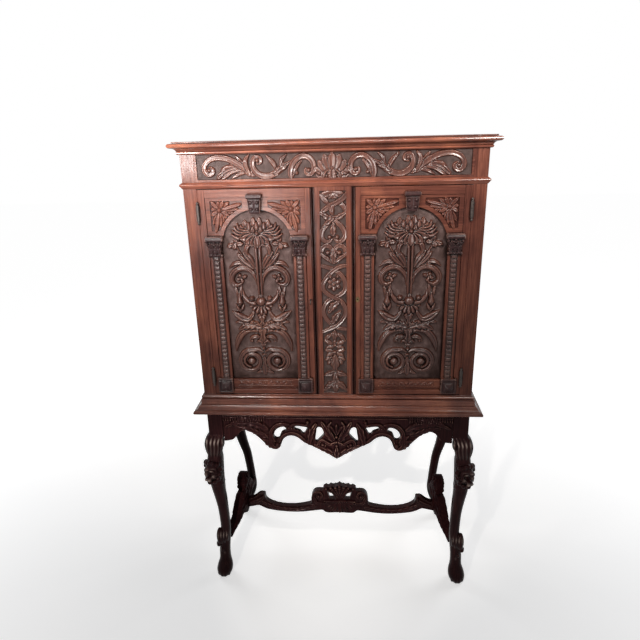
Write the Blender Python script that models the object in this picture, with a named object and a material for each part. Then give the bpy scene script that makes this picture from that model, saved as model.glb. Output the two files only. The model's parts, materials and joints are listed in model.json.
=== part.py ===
# Carved two-door cabinet on a lion-legged stand, metres, +Z up, front towards -Y
import math

import bmesh
import bpy
from mathutils import Matrix

for old in list(bpy.data.objects):
    bpy.data.objects.remove(old, do_unlink=True)

# Driving dimensions
BODY_W = 0.960
BODY_D = 0.450
STAND_H = 0.769
DOOR_H = 0.7225
FRIEZE_H = 0.1050
CORNICE_H = 0.0342
WAIST_H = 0.0692
WAIST_OUT = 0.037
CORNICE_OUT = 0.030
NECK_OUT = 0.0087
NECK_H = 0.020
STAND_BOARD_T = 0.0125
STAND_BOARD_OUT = 0.008
TOP_BOARD_T = 0.0045
TOP_BOARD_OUT = 0.018
BOARD_T = 0.022
BACK_T = 0.012
SHELF_T = 0.018
SHELF_FRONT = 0.055
SHELF_HOUSED = 0.006
STILE_W = 0.0435
CENTRE_W = 0.127
CENTRE_PANEL_W = 0.083
DOOR_T = 0.024
RIM_W = 0.0225
FIELD_SUNK = 0.012
TOP_BAND = 0.0270
PLINTH_FOOT = 0.0080
PILASTER_W = 0.042
PILASTER_GAP = 0.0025
ARCH_IN = 0.003
ARCH_DROP = 0.065
LEG_BLOCK = 0.055
APRON_T = 0.022
STRETCHER_T = 0.028
SIDE_STRETCHER_T = 0.024
HINGE_L = 0.050
HINGE_R = 0.0055
KEY_R = 0.0021
GAP = 0.0003
HINGE_GAP = 0.0006
MEET_GAP = 0.0025
DOOR_CLEAR = 0.0025

# Values that follow from the driving dimensions
HW = BODY_W / 2
YF = -(BODY_D - WAIST_OUT) / 2
KX = BODY_W / 0.960
KZ = STAND_H / 0.769
Z_BOARD = STAND_H + GAP
Z_BODY = Z_BOARD + STAND_BOARD_T + GAP
Z_CASE = Z_BODY + WAIST_H
Z_DOOR0 = Z_CASE + DOOR_CLEAR
Z_DOOR1 = Z_DOOR0 + DOOR_H
Z_NECK = Z_DOOR1 + DOOR_CLEAR
Z_CORNICE = Z_NECK + FRIEZE_H
Z_TOP = Z_CORNICE + CORNICE_H
STILE_IN = HW - STILE_W
CENTRE_HALF = CENTRE_W / 2
DOOR_OUT_X = STILE_IN - HINGE_GAP
DOOR_IN_X = CENTRE_HALF + MEET_GAP
DOOR_W = DOOR_OUT_X - DOOR_IN_X
DOOR_C = (DOOR_OUT_X + DOOR_IN_X) / 2
HINGE_X = STILE_IN - HINGE_GAP / 2
HINGE_D = -(HINGE_R + 0.0007)
KEY_X = DOOR_IN_X + 0.0125
KEY_Z = Z_DOOR0 + 0.489 * DOOR_H
RIM_IN = DOOR_W / 2 - RIM_W
INNER_HALF = RIM_IN - PILASTER_W - PILASTER_GAP
ARCH_R = INNER_HALF - ARCH_IN
ARCH_Z = Z_DOOR1 - ARCH_DROP - ARCH_R


def depth(d):
    return YF + d


# Collections and materials
product = bpy.data.collections.new("china_hutch")
tools = bpy.data.collections.new("cutters")
bpy.context.scene.collection.children.link(product)
bpy.context.scene.collection.children.link(tools)


def material(name, rgb, rough, metal=0.0):
    mat = bpy.data.materials.new(name)
    mat.use_nodes = True
    shader = mat.node_tree.nodes["Principled BSDF"]
    shader.inputs["Base Color"].default_value = (rgb[0], rgb[1], rgb[2], 1.0)
    shader.inputs["Roughness"].default_value = rough
    shader.inputs["Metallic"].default_value = metal
    return mat


CASE_WOOD = material("case_walnut", (0.205, 0.085, 0.045), 0.38)
CARVED_WOOD = material("carved_walnut", (0.115, 0.060, 0.040), 0.45)
DARK_WOOD = material("stand_walnut", (0.062, 0.030, 0.022), 0.42)
INNER_WOOD = material("inner_oak", (0.300, 0.180, 0.090), 0.60)
IRON = material("dark_iron", (0.045, 0.040, 0.038), 0.45, 0.9)
BRASS = material("aged_brass", (0.360, 0.260, 0.110), 0.40, 0.9)


def add(name, mesh, mat, smooth=False):
    ob = bpy.data.objects.new(name, mesh)
    mesh.name = name
    mesh.materials.clear()
    mesh.materials.append(mat)
    for poly in mesh.polygons:
        poly.use_smooth = smooth
    product.objects.link(ob)
    return ob


def cutter(name, mesh):
    ob = bpy.data.objects.new(name, mesh)
    ob.hide_render = True
    ob.display_type = "WIRE"
    tools.objects.link(ob)
    return ob


def boolean(ob, tool, operation="DIFFERENCE"):
    mod = ob.modifiers.new(tool.name, "BOOLEAN")
    mod.operation = operation
    mod.solver = "EXACT"
    mod.object = tool
    return mod


def finish(bm):
    bmesh.ops.recalc_face_normals(bm, faces=bm.faces[:])
    mesh = bpy.data.meshes.new("mesh")
    bm.to_mesh(mesh)
    bm.free()
    return mesh


# Box from its limits; d is the depth behind the front plane
def add_box(bm, x0, x1, d0, d1, z0, z1):
    made = bmesh.ops.create_cube(bm, size=1.0)["verts"]
    size = Matrix.Diagonal((x1 - x0, d1 - d0, z1 - z0, 1.0))
    place = Matrix.Translation(((x0 + x1) / 2, depth((d0 + d1) / 2), (z0 + z1) / 2))
    bmesh.ops.transform(bm, matrix=place @ size, verts=made)
    return made


def box_mesh(*limits):
    bm = bmesh.new()
    for lim in limits:
        add_box(bm, *lim)
    return finish(bm)


def sided(side, x0, x1):
    return (x0, x1) if side > 0 else (-x1, -x0)


# Smooth closed or open outline through control points
def smooth_line(points, steps, closed=False):
    out = []
    count = len(points)
    spans = count if closed else count - 1
    for i in range(spans):
        p = []
        for k in (i - 1, i, i + 1, i + 2):
            p.append(points[k % count] if closed else points[min(max(k, 0), count - 1)])
        for j in range(steps):
            t = j / steps
            row = []
            for a, b, c, d in zip(*p):
                row.append(0.5 * (2 * b + (c - a) * t + (2 * a - 5 * b + 4 * c - d) * t * t
                                  + (3 * b - a - 3 * c + d) * t * t * t))
            out.append(tuple(row))
    if not closed:
        out.append(tuple(points[-1]))
    return out


FRONT_TURN = Matrix(((1, 0, 0, 0), (0, 0, -1, 0), (0, 1, 0, 0), (0, 0, 0, 1)))
SIDE_TURN = Matrix(((0, 0, 1, 0), (1, 0, 0, 0), (0, 1, 0, 0), (0, 0, 0, 1)))
UP_TURN = Matrix.Identity(4)


# Flat outline with holes, filled by a 2D curve and extruded
def plate_mesh(loops, thick, turn, centre):
    data = bpy.data.curves.new("outline", "CURVE")
    data.dimensions = "2D"
    data.fill_mode = "BOTH"
    data.extrude = thick / 2
    for loop in loops:
        spline = data.splines.new("POLY")
        spline.points.add(len(loop) - 1)
        for point, co in zip(spline.points, loop):
            point.co = (co[0], co[1], 0.0, 1.0)
        spline.use_cyclic_u = True
    ob = bpy.data.objects.new("outline", data)
    tools.objects.link(ob)
    bpy.context.view_layer.update()
    graph = bpy.context.evaluated_depsgraph_get()
    mesh = bpy.data.meshes.new_from_object(ob.evaluated_get(graph))
    bpy.data.objects.remove(ob, do_unlink=True)
    bpy.data.curves.remove(data)
    mesh.transform(Matrix.Translation(centre) @ turn)
    bm = bmesh.new()
    bm.from_mesh(mesh)
    bmesh.ops.remove_doubles(bm, verts=bm.verts[:], dist=0.000001)
    bpy.data.meshes.remove(mesh)
    return finish(bm)


# Profile in plan (x, depth) extruded upwards
def upright_mesh(loop, z0, z1):
    turned = [(x, depth(d)) for x, d in loop]
    return plate_mesh([turned], z1 - z0, UP_TURN, (0, 0, (z0 + z1) / 2))


# Profile (depth, z) extruded along x
def along_mesh(loop, x0, x1):
    turned = [(depth(d), z) for d, z in loop]
    return plate_mesh([turned], x1 - x0, SIDE_TURN, ((x0 + x1) / 2, 0, 0))


# Outline (x, z) extruded between two depths
def front_mesh(loops, d0, d1):
    return plate_mesh(loops, d1 - d0, FRONT_TURN, (0, depth((d0 + d1) / 2), 0))


def joined(*meshes):
    bm = bmesh.new()
    for mesh in meshes:
        bm.from_mesh(mesh)
        bpy.data.meshes.remove(mesh)
    return finish(bm)


def loft_rings(bm, rings):
    rows = [[bm.verts.new(co) for co in ring] for ring in rings]
    count = len(rows[0])
    for low, high in zip(rows, rows[1:]):
        for i in range(count):
            k = (i + 1) % count
            bm.faces.new((low[i], low[k], high[k], high[i]))
    bm.faces.new(list(reversed(rows[0])))
    bm.faces.new(rows[-1])


# Rectangular stack: rows of (z, half width, front depth) with one back depth
def stack_mesh(centre_x, rows, back):
    bm = bmesh.new()
    rings = []
    for z, half, front in rows:
        x0 = centre_x - half
        x1 = centre_x + half
        rings.append([(x0, depth(front), z), (x1, depth(front), z),
                      (x1, depth(back), z), (x0, depth(back), z)])
    loft_rings(bm, rings)
    return finish(bm)


def tube_mesh(radius, z0, z1, x, d, sides=16):
    bm = bmesh.new()
    bmesh.ops.create_cone(bm, cap_ends=True, segments=sides, radius1=radius, radius2=radius,
                          depth=z1 - z0)
    bmesh.ops.translate(bm, verts=bm.verts[:], vec=(x, depth(d), (z0 + z1) / 2))
    return finish(bm)


def through_mesh(radius, d0, d1, x, z, sides=16, squash=1.0):
    bm = bmesh.new()
    bmesh.ops.create_cone(bm, cap_ends=True, segments=sides, radius1=radius, radius2=radius,
                          depth=d1 - d0)
    turn = Matrix.Rotation(math.pi / 2, 4, "X")
    tall = Matrix.Diagonal((1.0, 1.0, squash, 1.0))
    place = Matrix.Translation((x, depth((d0 + d1) / 2), z))
    bmesh.ops.transform(bm, matrix=place @ tall @ turn, verts=bm.verts[:])
    return finish(bm)


def lump_mesh(centre, size, turn=None, level=2):
    bm = bmesh.new()
    bmesh.ops.create_icosphere(bm, subdivisions=level, radius=1.0)
    spin = turn if turn is not None else Matrix.Identity(4)
    place = Matrix.Translation((centre[0], depth(centre[1]), centre[2]))
    scale = Matrix.Diagonal((size[0], size[1], size[2], 1.0))
    bmesh.ops.transform(bm, matrix=place @ spin @ scale, verts=bm.verts[:])
    return finish(bm)


# Mitred moulding round the front and both ends; profile rows are (overhang, z)
def moulding_mesh(profile):
    rear = YF + BODY_D
    bm = bmesh.new()
    loop = list(profile) + [(GAP, profile[-1][1]), (GAP, profile[0][1])]
    rings = []
    for side, y in ((-1, rear), (-1, None), (1, None), (1, rear)):
        rings.append([(side * (HW + o), YF - o if y is None else y, z) for o, z in loop])
    loft_rings(bm, rings)
    return finish(bm)


# Leg sections: height, offset outwards, depth, half width, half depth, squareness
FRONT_LEG = [
    (0.000, 0.0290, 0.0310, 0.0215, 0.0260, 2.4),
    (0.010, 0.0285, 0.0300, 0.0260, 0.0300, 2.5),
    (0.028, 0.0265, 0.0290, 0.0300, 0.0310, 2.5),
    (0.048, 0.0240, 0.0300, 0.0285, 0.0290, 2.4),
    (0.075, 0.0220, 0.0340, 0.0220, 0.0230, 2.2),
    (0.114, 0.0212, 0.0360, 0.0203, 0.0200, 2.2),
    (0.145, 0.0185, 0.0370, 0.0198, 0.0195, 2.2),
    (0.175, 0.0140, 0.0370, 0.0186, 0.0195, 2.2),
    (0.226, 0.0092, 0.0370, 0.0178, 0.0190, 2.2),
    (0.278, 0.0090, 0.0350, 0.0175, 0.0190, 2.2),
    (0.332, 0.0100, 0.0320, 0.0180, 0.0205, 2.2),
    (0.385, 0.0142, 0.0290, 0.0222, 0.0240, 2.3),
    (0.418, 0.0172, 0.0260, 0.0250, 0.0265, 2.4),
    (0.441, 0.0185, 0.0240, 0.0268, 0.0275, 2.5),
    (0.472, 0.0190, 0.0225, 0.0275, 0.0280, 2.6),
    (0.517, 0.0185, 0.0220, 0.0285, 0.0285, 2.7),
    (0.567, 0.0178, 0.0220, 0.0300, 0.0300, 2.8),
    (0.607, 0.0172, 0.0220, 0.0305, 0.0305, 3.0),
    (0.647, 0.0135, 0.0240, 0.0295, 0.0295, 4.0),
    (0.671, 0.0020, 0.0270, 0.0278, 0.0278, 9.0),
    (0.679, 0.0000, 0.0275, 0.0275, 0.0275, 30.0),
    (0.769, 0.0000, 0.0275, 0.0275, 0.0275, 30.0),
]
BACK_LEG = [
    (0.000, 0.0220, 0.0275, 0.0190, 0.0190, 2.2),
    (0.012, 0.0215, 0.0275, 0.0225, 0.0225, 2.2),
    (0.028, 0.0190, 0.0275, 0.0230, 0.0230, 2.2),
    (0.052, 0.0095, 0.0275, 0.0205, 0.0205, 2.2),
    (0.085, -0.0080, 0.0275, 0.0180, 0.0180, 2.2),
    (0.115, -0.0210, 0.0275, 0.0175, 0.0175, 2.2),
    (0.145, -0.0284, 0.0275, 0.0177, 0.0177, 2.2),
    (0.207, -0.0259, 0.0275, 0.0182, 0.0182, 2.2),
    (0.270, -0.0200, 0.0275, 0.0185, 0.0185, 2.2),
    (0.331, -0.0123, 0.0275, 0.0192, 0.0192, 2.3),
    (0.390, 0.0030, 0.0275, 0.0215, 0.0212, 2.4),
    (0.449, 0.0150, 0.0275, 0.0243, 0.0235, 2.5),
    (0.520, 0.0175, 0.0275, 0.0272, 0.0255, 2.7),
    (0.590, 0.0150, 0.0275, 0.0282, 0.0268, 3.0),
    (0.640, 0.0080, 0.0275, 0.0280, 0.0273, 4.5),
    (0.671, 0.0010, 0.0275, 0.0276, 0.0274, 10.0),
    (0.679, 0.0000, 0.0275, 0.0275, 0.0275, 30.0),
    (0.769, 0.0000, 0.0275, 0.0275, 0.0275, 30.0),
]
LEG_SIDES = 16
BLOCK_K = LEG_BLOCK / 0.055


def leg_mesh(side, table, back, grow=0.0):
    centre = HW - 0.001 - LEG_BLOCK / 2
    rings = []
    for z, out, d, half_x, half_d, power in table:
        if back:
            mid_d = BODY_D - d * BLOCK_K
        else:
            mid_d = d * BLOCK_K
        ring = []
        for k in range(LEG_SIDES):
            turn = (k + 0.5) * 2 * math.pi / LEG_SIDES
            c = math.cos(turn)
            s = math.sin(turn)
            px = math.copysign(abs(c) ** (2 / power), c) * (half_x * BLOCK_K + grow)
            pd = math.copysign(abs(s) ** (2 / power), s) * (half_d * BLOCK_K + grow)
            ring.append((side * (centre + out + px), depth(mid_d + pd), z * KZ))
        rings.append(ring)
    bm = bmesh.new()
    loft_rings(bm, rings)
    return finish(bm)


# Lion mask, mane, ankle leaf and toes united with the front legs
def front_leg(name, side):
    ob = add(name, leg_mesh(side, FRONT_LEG, False), DARK_WOOD, True)
    bx = HW - 0.001 - LEG_BLOCK / 2
    dd = (LEG_BLOCK - 0.055) / 2
    lumps = [
        ("mane", (0.0210, 0.0200, 0.535), (0.0315, 0.0310, 0.0380), 1),
        ("brow", (0.0370, 0.0050, 0.524), (0.0170, 0.0170, 0.0180), 2),
        ("muzzle", (0.0440, 0.0000, 0.492), (0.0135, 0.0135, 0.0130), 2),
        ("jaw", (0.0400, 0.0030, 0.476), (0.0105, 0.0105, 0.0075), 1),
        ("cheek_out", (0.0470, 0.0230, 0.498), (0.0110, 0.0140, 0.0180), 1),
        ("cheek_in", (0.0190, -0.0045, 0.496), (0.0140, 0.0110, 0.0180), 1),
        ("ear_out", (0.0415, 0.0225, 0.551), (0.0090, 0.0110, 0.0150), 1),
        ("ear_in", (-0.0160, -0.0010, 0.547), (0.0120, 0.0120, 0.0140), 1),
        ("leaf", (0.0300, 0.0260, 0.190), (0.0140, 0.0180, 0.0400), 1),
        ("leaf_tip", (0.0370, 0.0210, 0.160), (0.0085, 0.0140, 0.0130), 1),
    ]
    for k in range(4):
        lumps.append(("toe%d" % k, (0.0095 + 0.0125 * k, 0.0060 + 0.0022 * abs(k - 1.5), 0.020),
                      (0.0070, 0.0120, 0.0150), 1))
    for label, place, size, level in lumps:
        mesh = lump_mesh((side * (bx + place[0]), dd + place[1], place[2] * KZ), size, None, level)
        tool = cutter(name + "_" + label, mesh)
        boolean(ob, tool, "UNION")
    flat = cutter(name + "_floor", box_mesh((side * bx - 0.2, side * bx + 0.2, -0.2, 0.4, -0.1, 0.0)))
    boolean(ob, flat)
    return ob


# Stand
front_leg("leg_front_left", -1)
front_leg("leg_front_right", 1)
add("leg_back_left", leg_mesh(-1, BACK_LEG, True), DARK_WOOD, True)
add("leg_back_right", leg_mesh(1, BACK_LEG, True), DARK_WOOD, True)
LEG_GROWN = {}
for side_name, sign in (("left", -1), ("right", 1)):
    grown = leg_mesh(sign, FRONT_LEG, False, GAP)
    LEG_GROWN["front_" + side_name] = cutter("seat_front_" + side_name, grown)
    grown = leg_mesh(sign, BACK_LEG, True, GAP)
    LEG_GROWN["back_" + side_name] = cutter("seat_back_" + side_name, grown)

BLOCK_IN = HW - 0.001 - LEG_BLOCK
APRON_EDGE = [
    (0.4237, 0.6515), (0.402, 0.6535), (0.386, 0.6605), (0.372, 0.6765), (0.360, 0.6915),
    (0.345, 0.6985), (0.330, 0.6965), (0.310, 0.6845), (0.290, 0.6655), (0.270, 0.6435),
    (0.255, 0.6275), (0.240, 0.6185), (0.227, 0.6175), (0.215, 0.6245), (0.208, 0.6385),
    (0.203, 0.6545), (0.194, 0.6675), (0.178, 0.6765), (0.158, 0.6755), (0.140, 0.6655),
    (0.122, 0.6485), (0.100, 0.6385), (0.080, 0.6265), (0.058, 0.6155), (0.040, 0.6065),
    (0.025, 0.5955), (0.010, 0.5845), (0.0, 0.5815),
]
APRON_HOLES = [
    [(0.234, 0.6690), (0.233, 0.6850), (0.226, 0.7000), (0.213, 0.7100), (0.198, 0.7140),
     (0.189, 0.7100), (0.187, 0.7020), (0.193, 0.6940), (0.204, 0.6890), (0.211, 0.6780),
     (0.215, 0.6650), (0.225, 0.6610)],
    [(0.157, 0.7130), (0.145, 0.7180), (0.125, 0.7150), (0.109, 0.7120), (0.106, 0.7050),
     (0.113, 0.6980), (0.119, 0.6860), (0.126, 0.6830), (0.134, 0.6940), (0.149, 0.7000),
     (0.157, 0.7050)],
    [(0.073, 0.7090), (0.065, 0.7150), (0.055, 0.7100), (0.050, 0.6990), (0.047, 0.6870),
     (0.054, 0.6730), (0.067, 0.6590), (0.075, 0.6510), (0.0795, 0.6550), (0.078, 0.6730),
     (0.075, 0.6920)],
]
EDGE_K = (BLOCK_IN - GAP) / 0.4237
half_edge = [(x * EDGE_K, z * KZ) for x, z in smooth_line(APRON_EDGE, 2)]
apron_loop = [(-x, z) for x, z in half_edge] + [(x, z) for x, z in reversed(half_edge[:-1])]
apron_loop += [(BLOCK_IN - GAP, STAND_H), (-(BLOCK_IN - GAP), STAND_H)]
apron_loops = [apron_loop]
for hole in APRON_HOLES:
    ring = [(x * EDGE_K, z * KZ) for x, z in smooth_line(hole, 2, True)]
    apron_loops.append(ring)
    apron_loops.append([(-x, z) for x, z in reversed(ring)])
add("apron_front", front_mesh(apron_loops, 0.003, 0.003 + APRON_T), DARK_WOOD)

RAIL_LOW = [(0.0, 0.6570), (0.06, 0.6730), (0.16, 0.6920), (0.30, 0.6990), (0.50, 0.7010)]


def rail_loop(a, b):
    span = b - a
    half = smooth_line(RAIL_LOW, 3)
    low = [(a + t * span, z * KZ) for t, z in half]
    low += [(b - t * span, z * KZ) for t, z in reversed(half[:-1])]
    return low + [(b, STAND_H), (a, STAND_H)]


side_rail = rail_loop(LEG_BLOCK + GAP, BODY_D - LEG_BLOCK - GAP)
for side_name, sign in (("left", -1), ("right", 1)):
    x0, x1 = sided(sign, HW - 0.003 - APRON_T, HW - 0.003)
    add("rail_side_" + side_name, along_mesh(side_rail, x0, x1), DARK_WOOD)
back_rail = rail_loop(-(BLOCK_IN - GAP), BLOCK_IN - GAP)
add("rail_back", front_mesh([back_rail], BODY_D - 0.003 - APRON_T, BODY_D - 0.003), DARK_WOOD)

# Side stretchers: crested bar in the depth plane, bowed inwards between the legs;
# rows are (distance from the middle as a share of the half length, height)
CREST_SIDE = [
    (1.000, 0.197), (0.810, 0.205), (0.650, 0.226), (0.520, 0.250), (0.430, 0.272),
    (0.340, 0.285), (0.260, 0.286), (0.195, 0.284), (0.205, 0.300), (0.228, 0.318),
    (0.180, 0.337), (0.100, 0.346), (0.000, 0.3495),
]
SAG_SIDE = [
    (1.000, 0.160), (0.750, 0.183), (0.450, 0.196), (0.230, 0.182), (0.120, 0.172), (0.000, 0.170),
]
STRETCH_X = 0.422 * KX
STRETCH_D0 = LEG_BLOCK / 2 + 0.0245
STRETCH_D1 = BODY_D - LEG_BLOCK / 2 - 0.0085
STRETCH_MID = (STRETCH_D0 + STRETCH_D1) / 2
STRETCH_HALF = (STRETCH_D1 - STRETCH_D0) / 2


def bow(d):
    near = max(0.0, (STRETCH_MID - d) / STRETCH_HALF)
    return STRETCH_X + (HW - 0.001 - LEG_BLOCK / 2 + 0.0055 - STRETCH_X) * near * near


def side_stretcher(name, side, side_name):
    top = [(t, z * KZ) for t, z in smooth_line(CREST_SIDE, 2)]
    low = [(t, z * KZ) for t, z in smooth_line(SAG_SIDE, 2)]
    loop = [(-t, z) for t, z in top] + [(t, z) for t, z in reversed(top[:-1])]
    loop += low + [(-t, z) for t, z in reversed(low[:-1])]
    eye = [(0.250, 0.236), (0.130, 0.238), (0.080, 0.258), (0.160, 0.266), (0.255, 0.258)]
    eye = [(t, z * KZ) for t, z in smooth_line(eye, 2, True)]
    loops = [loop, eye, [(-t, z) for t, z in reversed(eye)]]
    loops = [[(depth(STRETCH_MID + t * STRETCH_HALF), z) for t, z in ring] for ring in loops]
    mesh = plate_mesh(loops, SIDE_STRETCHER_T, SIDE_TURN, (0, 0, 0))
    bm = bmesh.new()
    bm.from_mesh(mesh)
    for share in (0.85, 0.7, 0.55, 0.4, 0.2, 0.0):
        at = depth(STRETCH_MID - share * STRETCH_HALF)
        bmesh.ops.bisect_plane(bm, geom=bm.verts[:] + bm.edges[:] + bm.faces[:], dist=0.000001,
                               plane_co=(0, at, 0), plane_no=(0, 1, 0))
    for vert in bm.verts:
        vert.co.x += side * bow(vert.co.y - YF)
    bpy.data.meshes.remove(mesh)
    ob = add(name, finish(bm), DARK_WOOD)
    ball = lump_mesh((side * STRETCH_X, STRETCH_MID, 0.316 * KZ), (0.0185, 0.0360, 0.0310))
    boolean(ob, cutter(name + "_ball", ball), "UNION")
    boolean(ob, LEG_GROWN["front_" + side_name])
    boolean(ob, LEG_GROWN["back_" + side_name])
    return ob


side_stretcher("stretcher_side_left", -1, "left")
side_stretcher("stretcher_side_right", 1, "right")

# Middle stretcher: sagging arms, end scrolls, volutes and pierced shell finial
CREST_MID = [
    (0.0000, 0.3045), (0.0122, 0.2985), (0.0203, 0.2925), (0.0305, 0.2975), (0.0407, 0.2945),
    (0.0478, 0.2915), (0.0610, 0.2925), (0.0702, 0.2865), (0.0712, 0.2745), (0.0874, 0.2755),
    (0.1057, 0.2695), (0.1179, 0.2535), (0.1220, 0.2325), (0.1210, 0.2125), (0.1261, 0.2035),
    (0.1525, 0.1955), (0.1932, 0.1885), (0.2440, 0.1885), (0.2796, 0.1965), (0.3050, 0.2095),
    (0.3193, 0.2235), (0.3223, 0.2395), (0.3305, 0.2505), (0.3467, 0.2495), (0.3620, 0.2365),
    (0.3782, 0.2265), (0.4034, 0.2215),
]
SAG_MID = [
    (0.0000, 0.1610), (0.0254, 0.1600), (0.0508, 0.1590), (0.0651, 0.1640), (0.0752, 0.1730),
    (0.1017, 0.1700), (0.1525, 0.1620), (0.2034, 0.1590), (0.2542, 0.1620), (0.3050, 0.1700),
    (0.3305, 0.1800), (0.3508, 0.1910), (0.3762, 0.1860), (0.4034, 0.1800),
]
MID_K = (STRETCH_X - SIDE_STRETCHER_T / 2 - GAP) / 0.4034
half_top = [(x * MID_K, z * KZ) for x, z in smooth_line(CREST_MID, 2)]
half_low = [(x * MID_K, z * KZ) for x, z in smooth_line(SAG_MID, 2)]
mid_loop = [(-x, z) for x, z in reversed(half_top)] + half_top[1:]
mid_loop += list(reversed(half_low)) + [(-x, z) for x, z in half_low[1:]]
mid_eye = [(0.0508, 0.2690), (0.0346, 0.2660), (0.0264, 0.2520), (0.0163, 0.2310), (0.0305, 0.2290),
           (0.0427, 0.2310), (0.0458, 0.2490)]
mid_eye = [(x * MID_K, z * KZ) for x, z in smooth_line(mid_eye, 2, True)]
mid_loops = [mid_loop, mid_eye, [(-x, z) for x, z in reversed(mid_eye)]]
mid_d = STRETCH_MID
add("stretcher_middle", front_mesh(mid_loops, mid_d - STRETCHER_T / 2, mid_d + STRETCHER_T / 2),
    DARK_WOOD)

add("stand_top_board", box_mesh((-(HW + STAND_BOARD_OUT), HW + STAND_BOARD_OUT, -STAND_BOARD_OUT,
                                 BODY_D, Z_BOARD, Z_BOARD + STAND_BOARD_T)), DARK_WOOD)


# Case boards
INSIDE = HW - BOARD_T - GAP
SHELF_Z = (Z_CASE + Z_TOP) / 2 - 0.080


def hinge_levels():
    return (Z_DOOR0 + 0.068, Z_DOOR1 - 0.075)


def leaf_seats(name, x0, x1, upper):
    half = HINGE_L / 2
    meshes = []
    for z in hinge_levels():
        low = z if upper else z - half
        meshes.append(box_mesh((x0, x1, -0.01, 0.0185, low - GAP, low + half + GAP)))
    return cutter(name, joined(*meshes))


for side_name, sign in (("left", -1), ("right", 1)):
    x0, x1 = sided(sign, HW - BOARD_T, HW)
    board = add("side_" + side_name, box_mesh((x0, x1, BOARD_T + GAP, BODY_D, Z_BODY, Z_TOP)), CASE_WOOD)
    x0, x1 = sided(sign, INSIDE - 0.01, HW - BOARD_T + SHELF_HOUSED + GAP)
    housing = box_mesh((x0, x1, SHELF_FRONT - GAP, BODY_D + 0.01, SHELF_Z - GAP, SHELF_Z + SHELF_T + GAP))
    boolean(board, cutter("shelf_housing_" + side_name, housing))
    x0, x1 = sided(sign, STILE_IN, HW)
    stile = add("front_stile_" + side_name, box_mesh((x0, x1, 0.0, BOARD_T, Z_BODY, Z_TOP)), CASE_WOOD)
    x0, x1 = sided(sign, STILE_IN - 0.001, STILE_IN + 0.0014)
    boolean(stile, leaf_seats("leaf_seat_case_" + side_name, x0, x1, False))

RAIL_X = STILE_IN - GAP
add("front_bottom_rail", box_mesh((-RAIL_X, RAIL_X, 0.0, BOARD_T, Z_BODY, Z_CASE)), CASE_WOOD)
FRIEZE_FIELD = (RAIL_X - 0.0075, Z_NECK + 0.0275, Z_CORNICE - 0.0015)
frieze = add("frieze_board", box_mesh((-RAIL_X, RAIL_X, 0.0, BOARD_T, Z_NECK, Z_TOP)), CASE_WOOD)
sunk = box_mesh((-FRIEZE_FIELD[0], FRIEZE_FIELD[0], -0.01, 0.010, FRIEZE_FIELD[1], FRIEZE_FIELD[2]))
boolean(frieze, cutter("frieze_field", sunk))
FX = FRIEZE_FIELD[0] - GAP
add("frieze_panel", box_mesh((-FX, FX, 0.004, 0.010 - GAP, FRIEZE_FIELD[1] + GAP,
                              FRIEZE_FIELD[2] - GAP)), CARVED_WOOD)

centre = add("centre_stile", box_mesh((-CENTRE_HALF, CENTRE_HALF, 0.0, DOOR_T, Z_CASE + GAP,
                                       Z_NECK - GAP)), CASE_WOOD)
CP = CENTRE_PANEL_W / 2
CP_Z0 = Z_CASE + 0.006
CP_Z1 = Z_DOOR1 - 0.0105
boolean(centre, cutter("centre_field", box_mesh((-CP, CP, -0.01, 0.012, CP_Z0, CP_Z1))))
add("centre_panel", box_mesh((-CP + GAP, CP - GAP, 0.005, 0.012 - GAP, CP_Z0 + GAP, CP_Z1 - GAP)),
    CARVED_WOOD)

add("bottom_board", box_mesh((-INSIDE, INSIDE, BOARD_T + GAP, BODY_D - BACK_T - GAP,
                              Z_CASE - 0.020, Z_CASE - 0.002)), INNER_WOOD)
add("back_panel", box_mesh((-INSIDE, INSIDE, BODY_D - BACK_T, BODY_D, Z_BODY, Z_TOP)), INNER_WOOD)
SHELF_X = HW - BOARD_T + SHELF_HOUSED
add("shelf", box_mesh((-SHELF_X, SHELF_X, SHELF_FRONT, BODY_D - BACK_T - GAP, SHELF_Z,
                       SHELF_Z + SHELF_T)), INNER_WOOD)
add("top_board", box_mesh((-(HW + TOP_BOARD_OUT), HW + TOP_BOARD_OUT, -TOP_BOARD_OUT, BODY_D,
                           Z_TOP + GAP, Z_TOP + GAP + TOP_BOARD_T)), CASE_WOOD)


# Mouldings
def arc(cx, cz, r, a0, a1, steps):
    out = []
    for k in range(steps + 1):
        a = math.radians(a0 + (a1 - a0) * k / steps)
        out.append((cx + r * math.cos(a), cz + r * math.sin(a)))
    return out


wz = Z_BODY
wo = WAIST_OUT
waist = [(wo * 0.86, wz), (wo, wz + 0.0035), (wo, wz + 0.0100), (wo * 0.92, wz + 0.0142)]
waist += smooth_line([(wo * 0.82, wz + 0.0150), (wo * 0.66, wz + 0.0180), (wo * 0.56, wz + 0.0235),
                      (wo * 0.50, wz + 0.0285), (wo * 0.40, wz + 0.0318)], 2)
waist += [(wo * 0.30, wz + 0.0320), (wo * 0.28, wz + WAIST_H - 0.0165)]
waist += arc(0.0035, wz + WAIST_H - 0.0085, 0.0056, -80, 80, 6)
waist += [(0.0012, wz + WAIST_H - 0.0012), (0.0012, wz + WAIST_H)]
add("waist_moulding", moulding_mesh(waist), CASE_WOOD)

nz = Z_NECK
no = NECK_OUT
neck = [(0.0012, nz), (0.0030, nz + 0.0030), (no * 0.62, nz + 0.0060)]
neck += arc(no - 0.0046, nz + 0.0120, 0.0046, -70, 70, 6)
neck += [(no * 0.40, nz + 0.0178), (0.0012, nz + NECK_H)]
add("necking_moulding", moulding_mesh(neck), CASE_WOOD)

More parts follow.
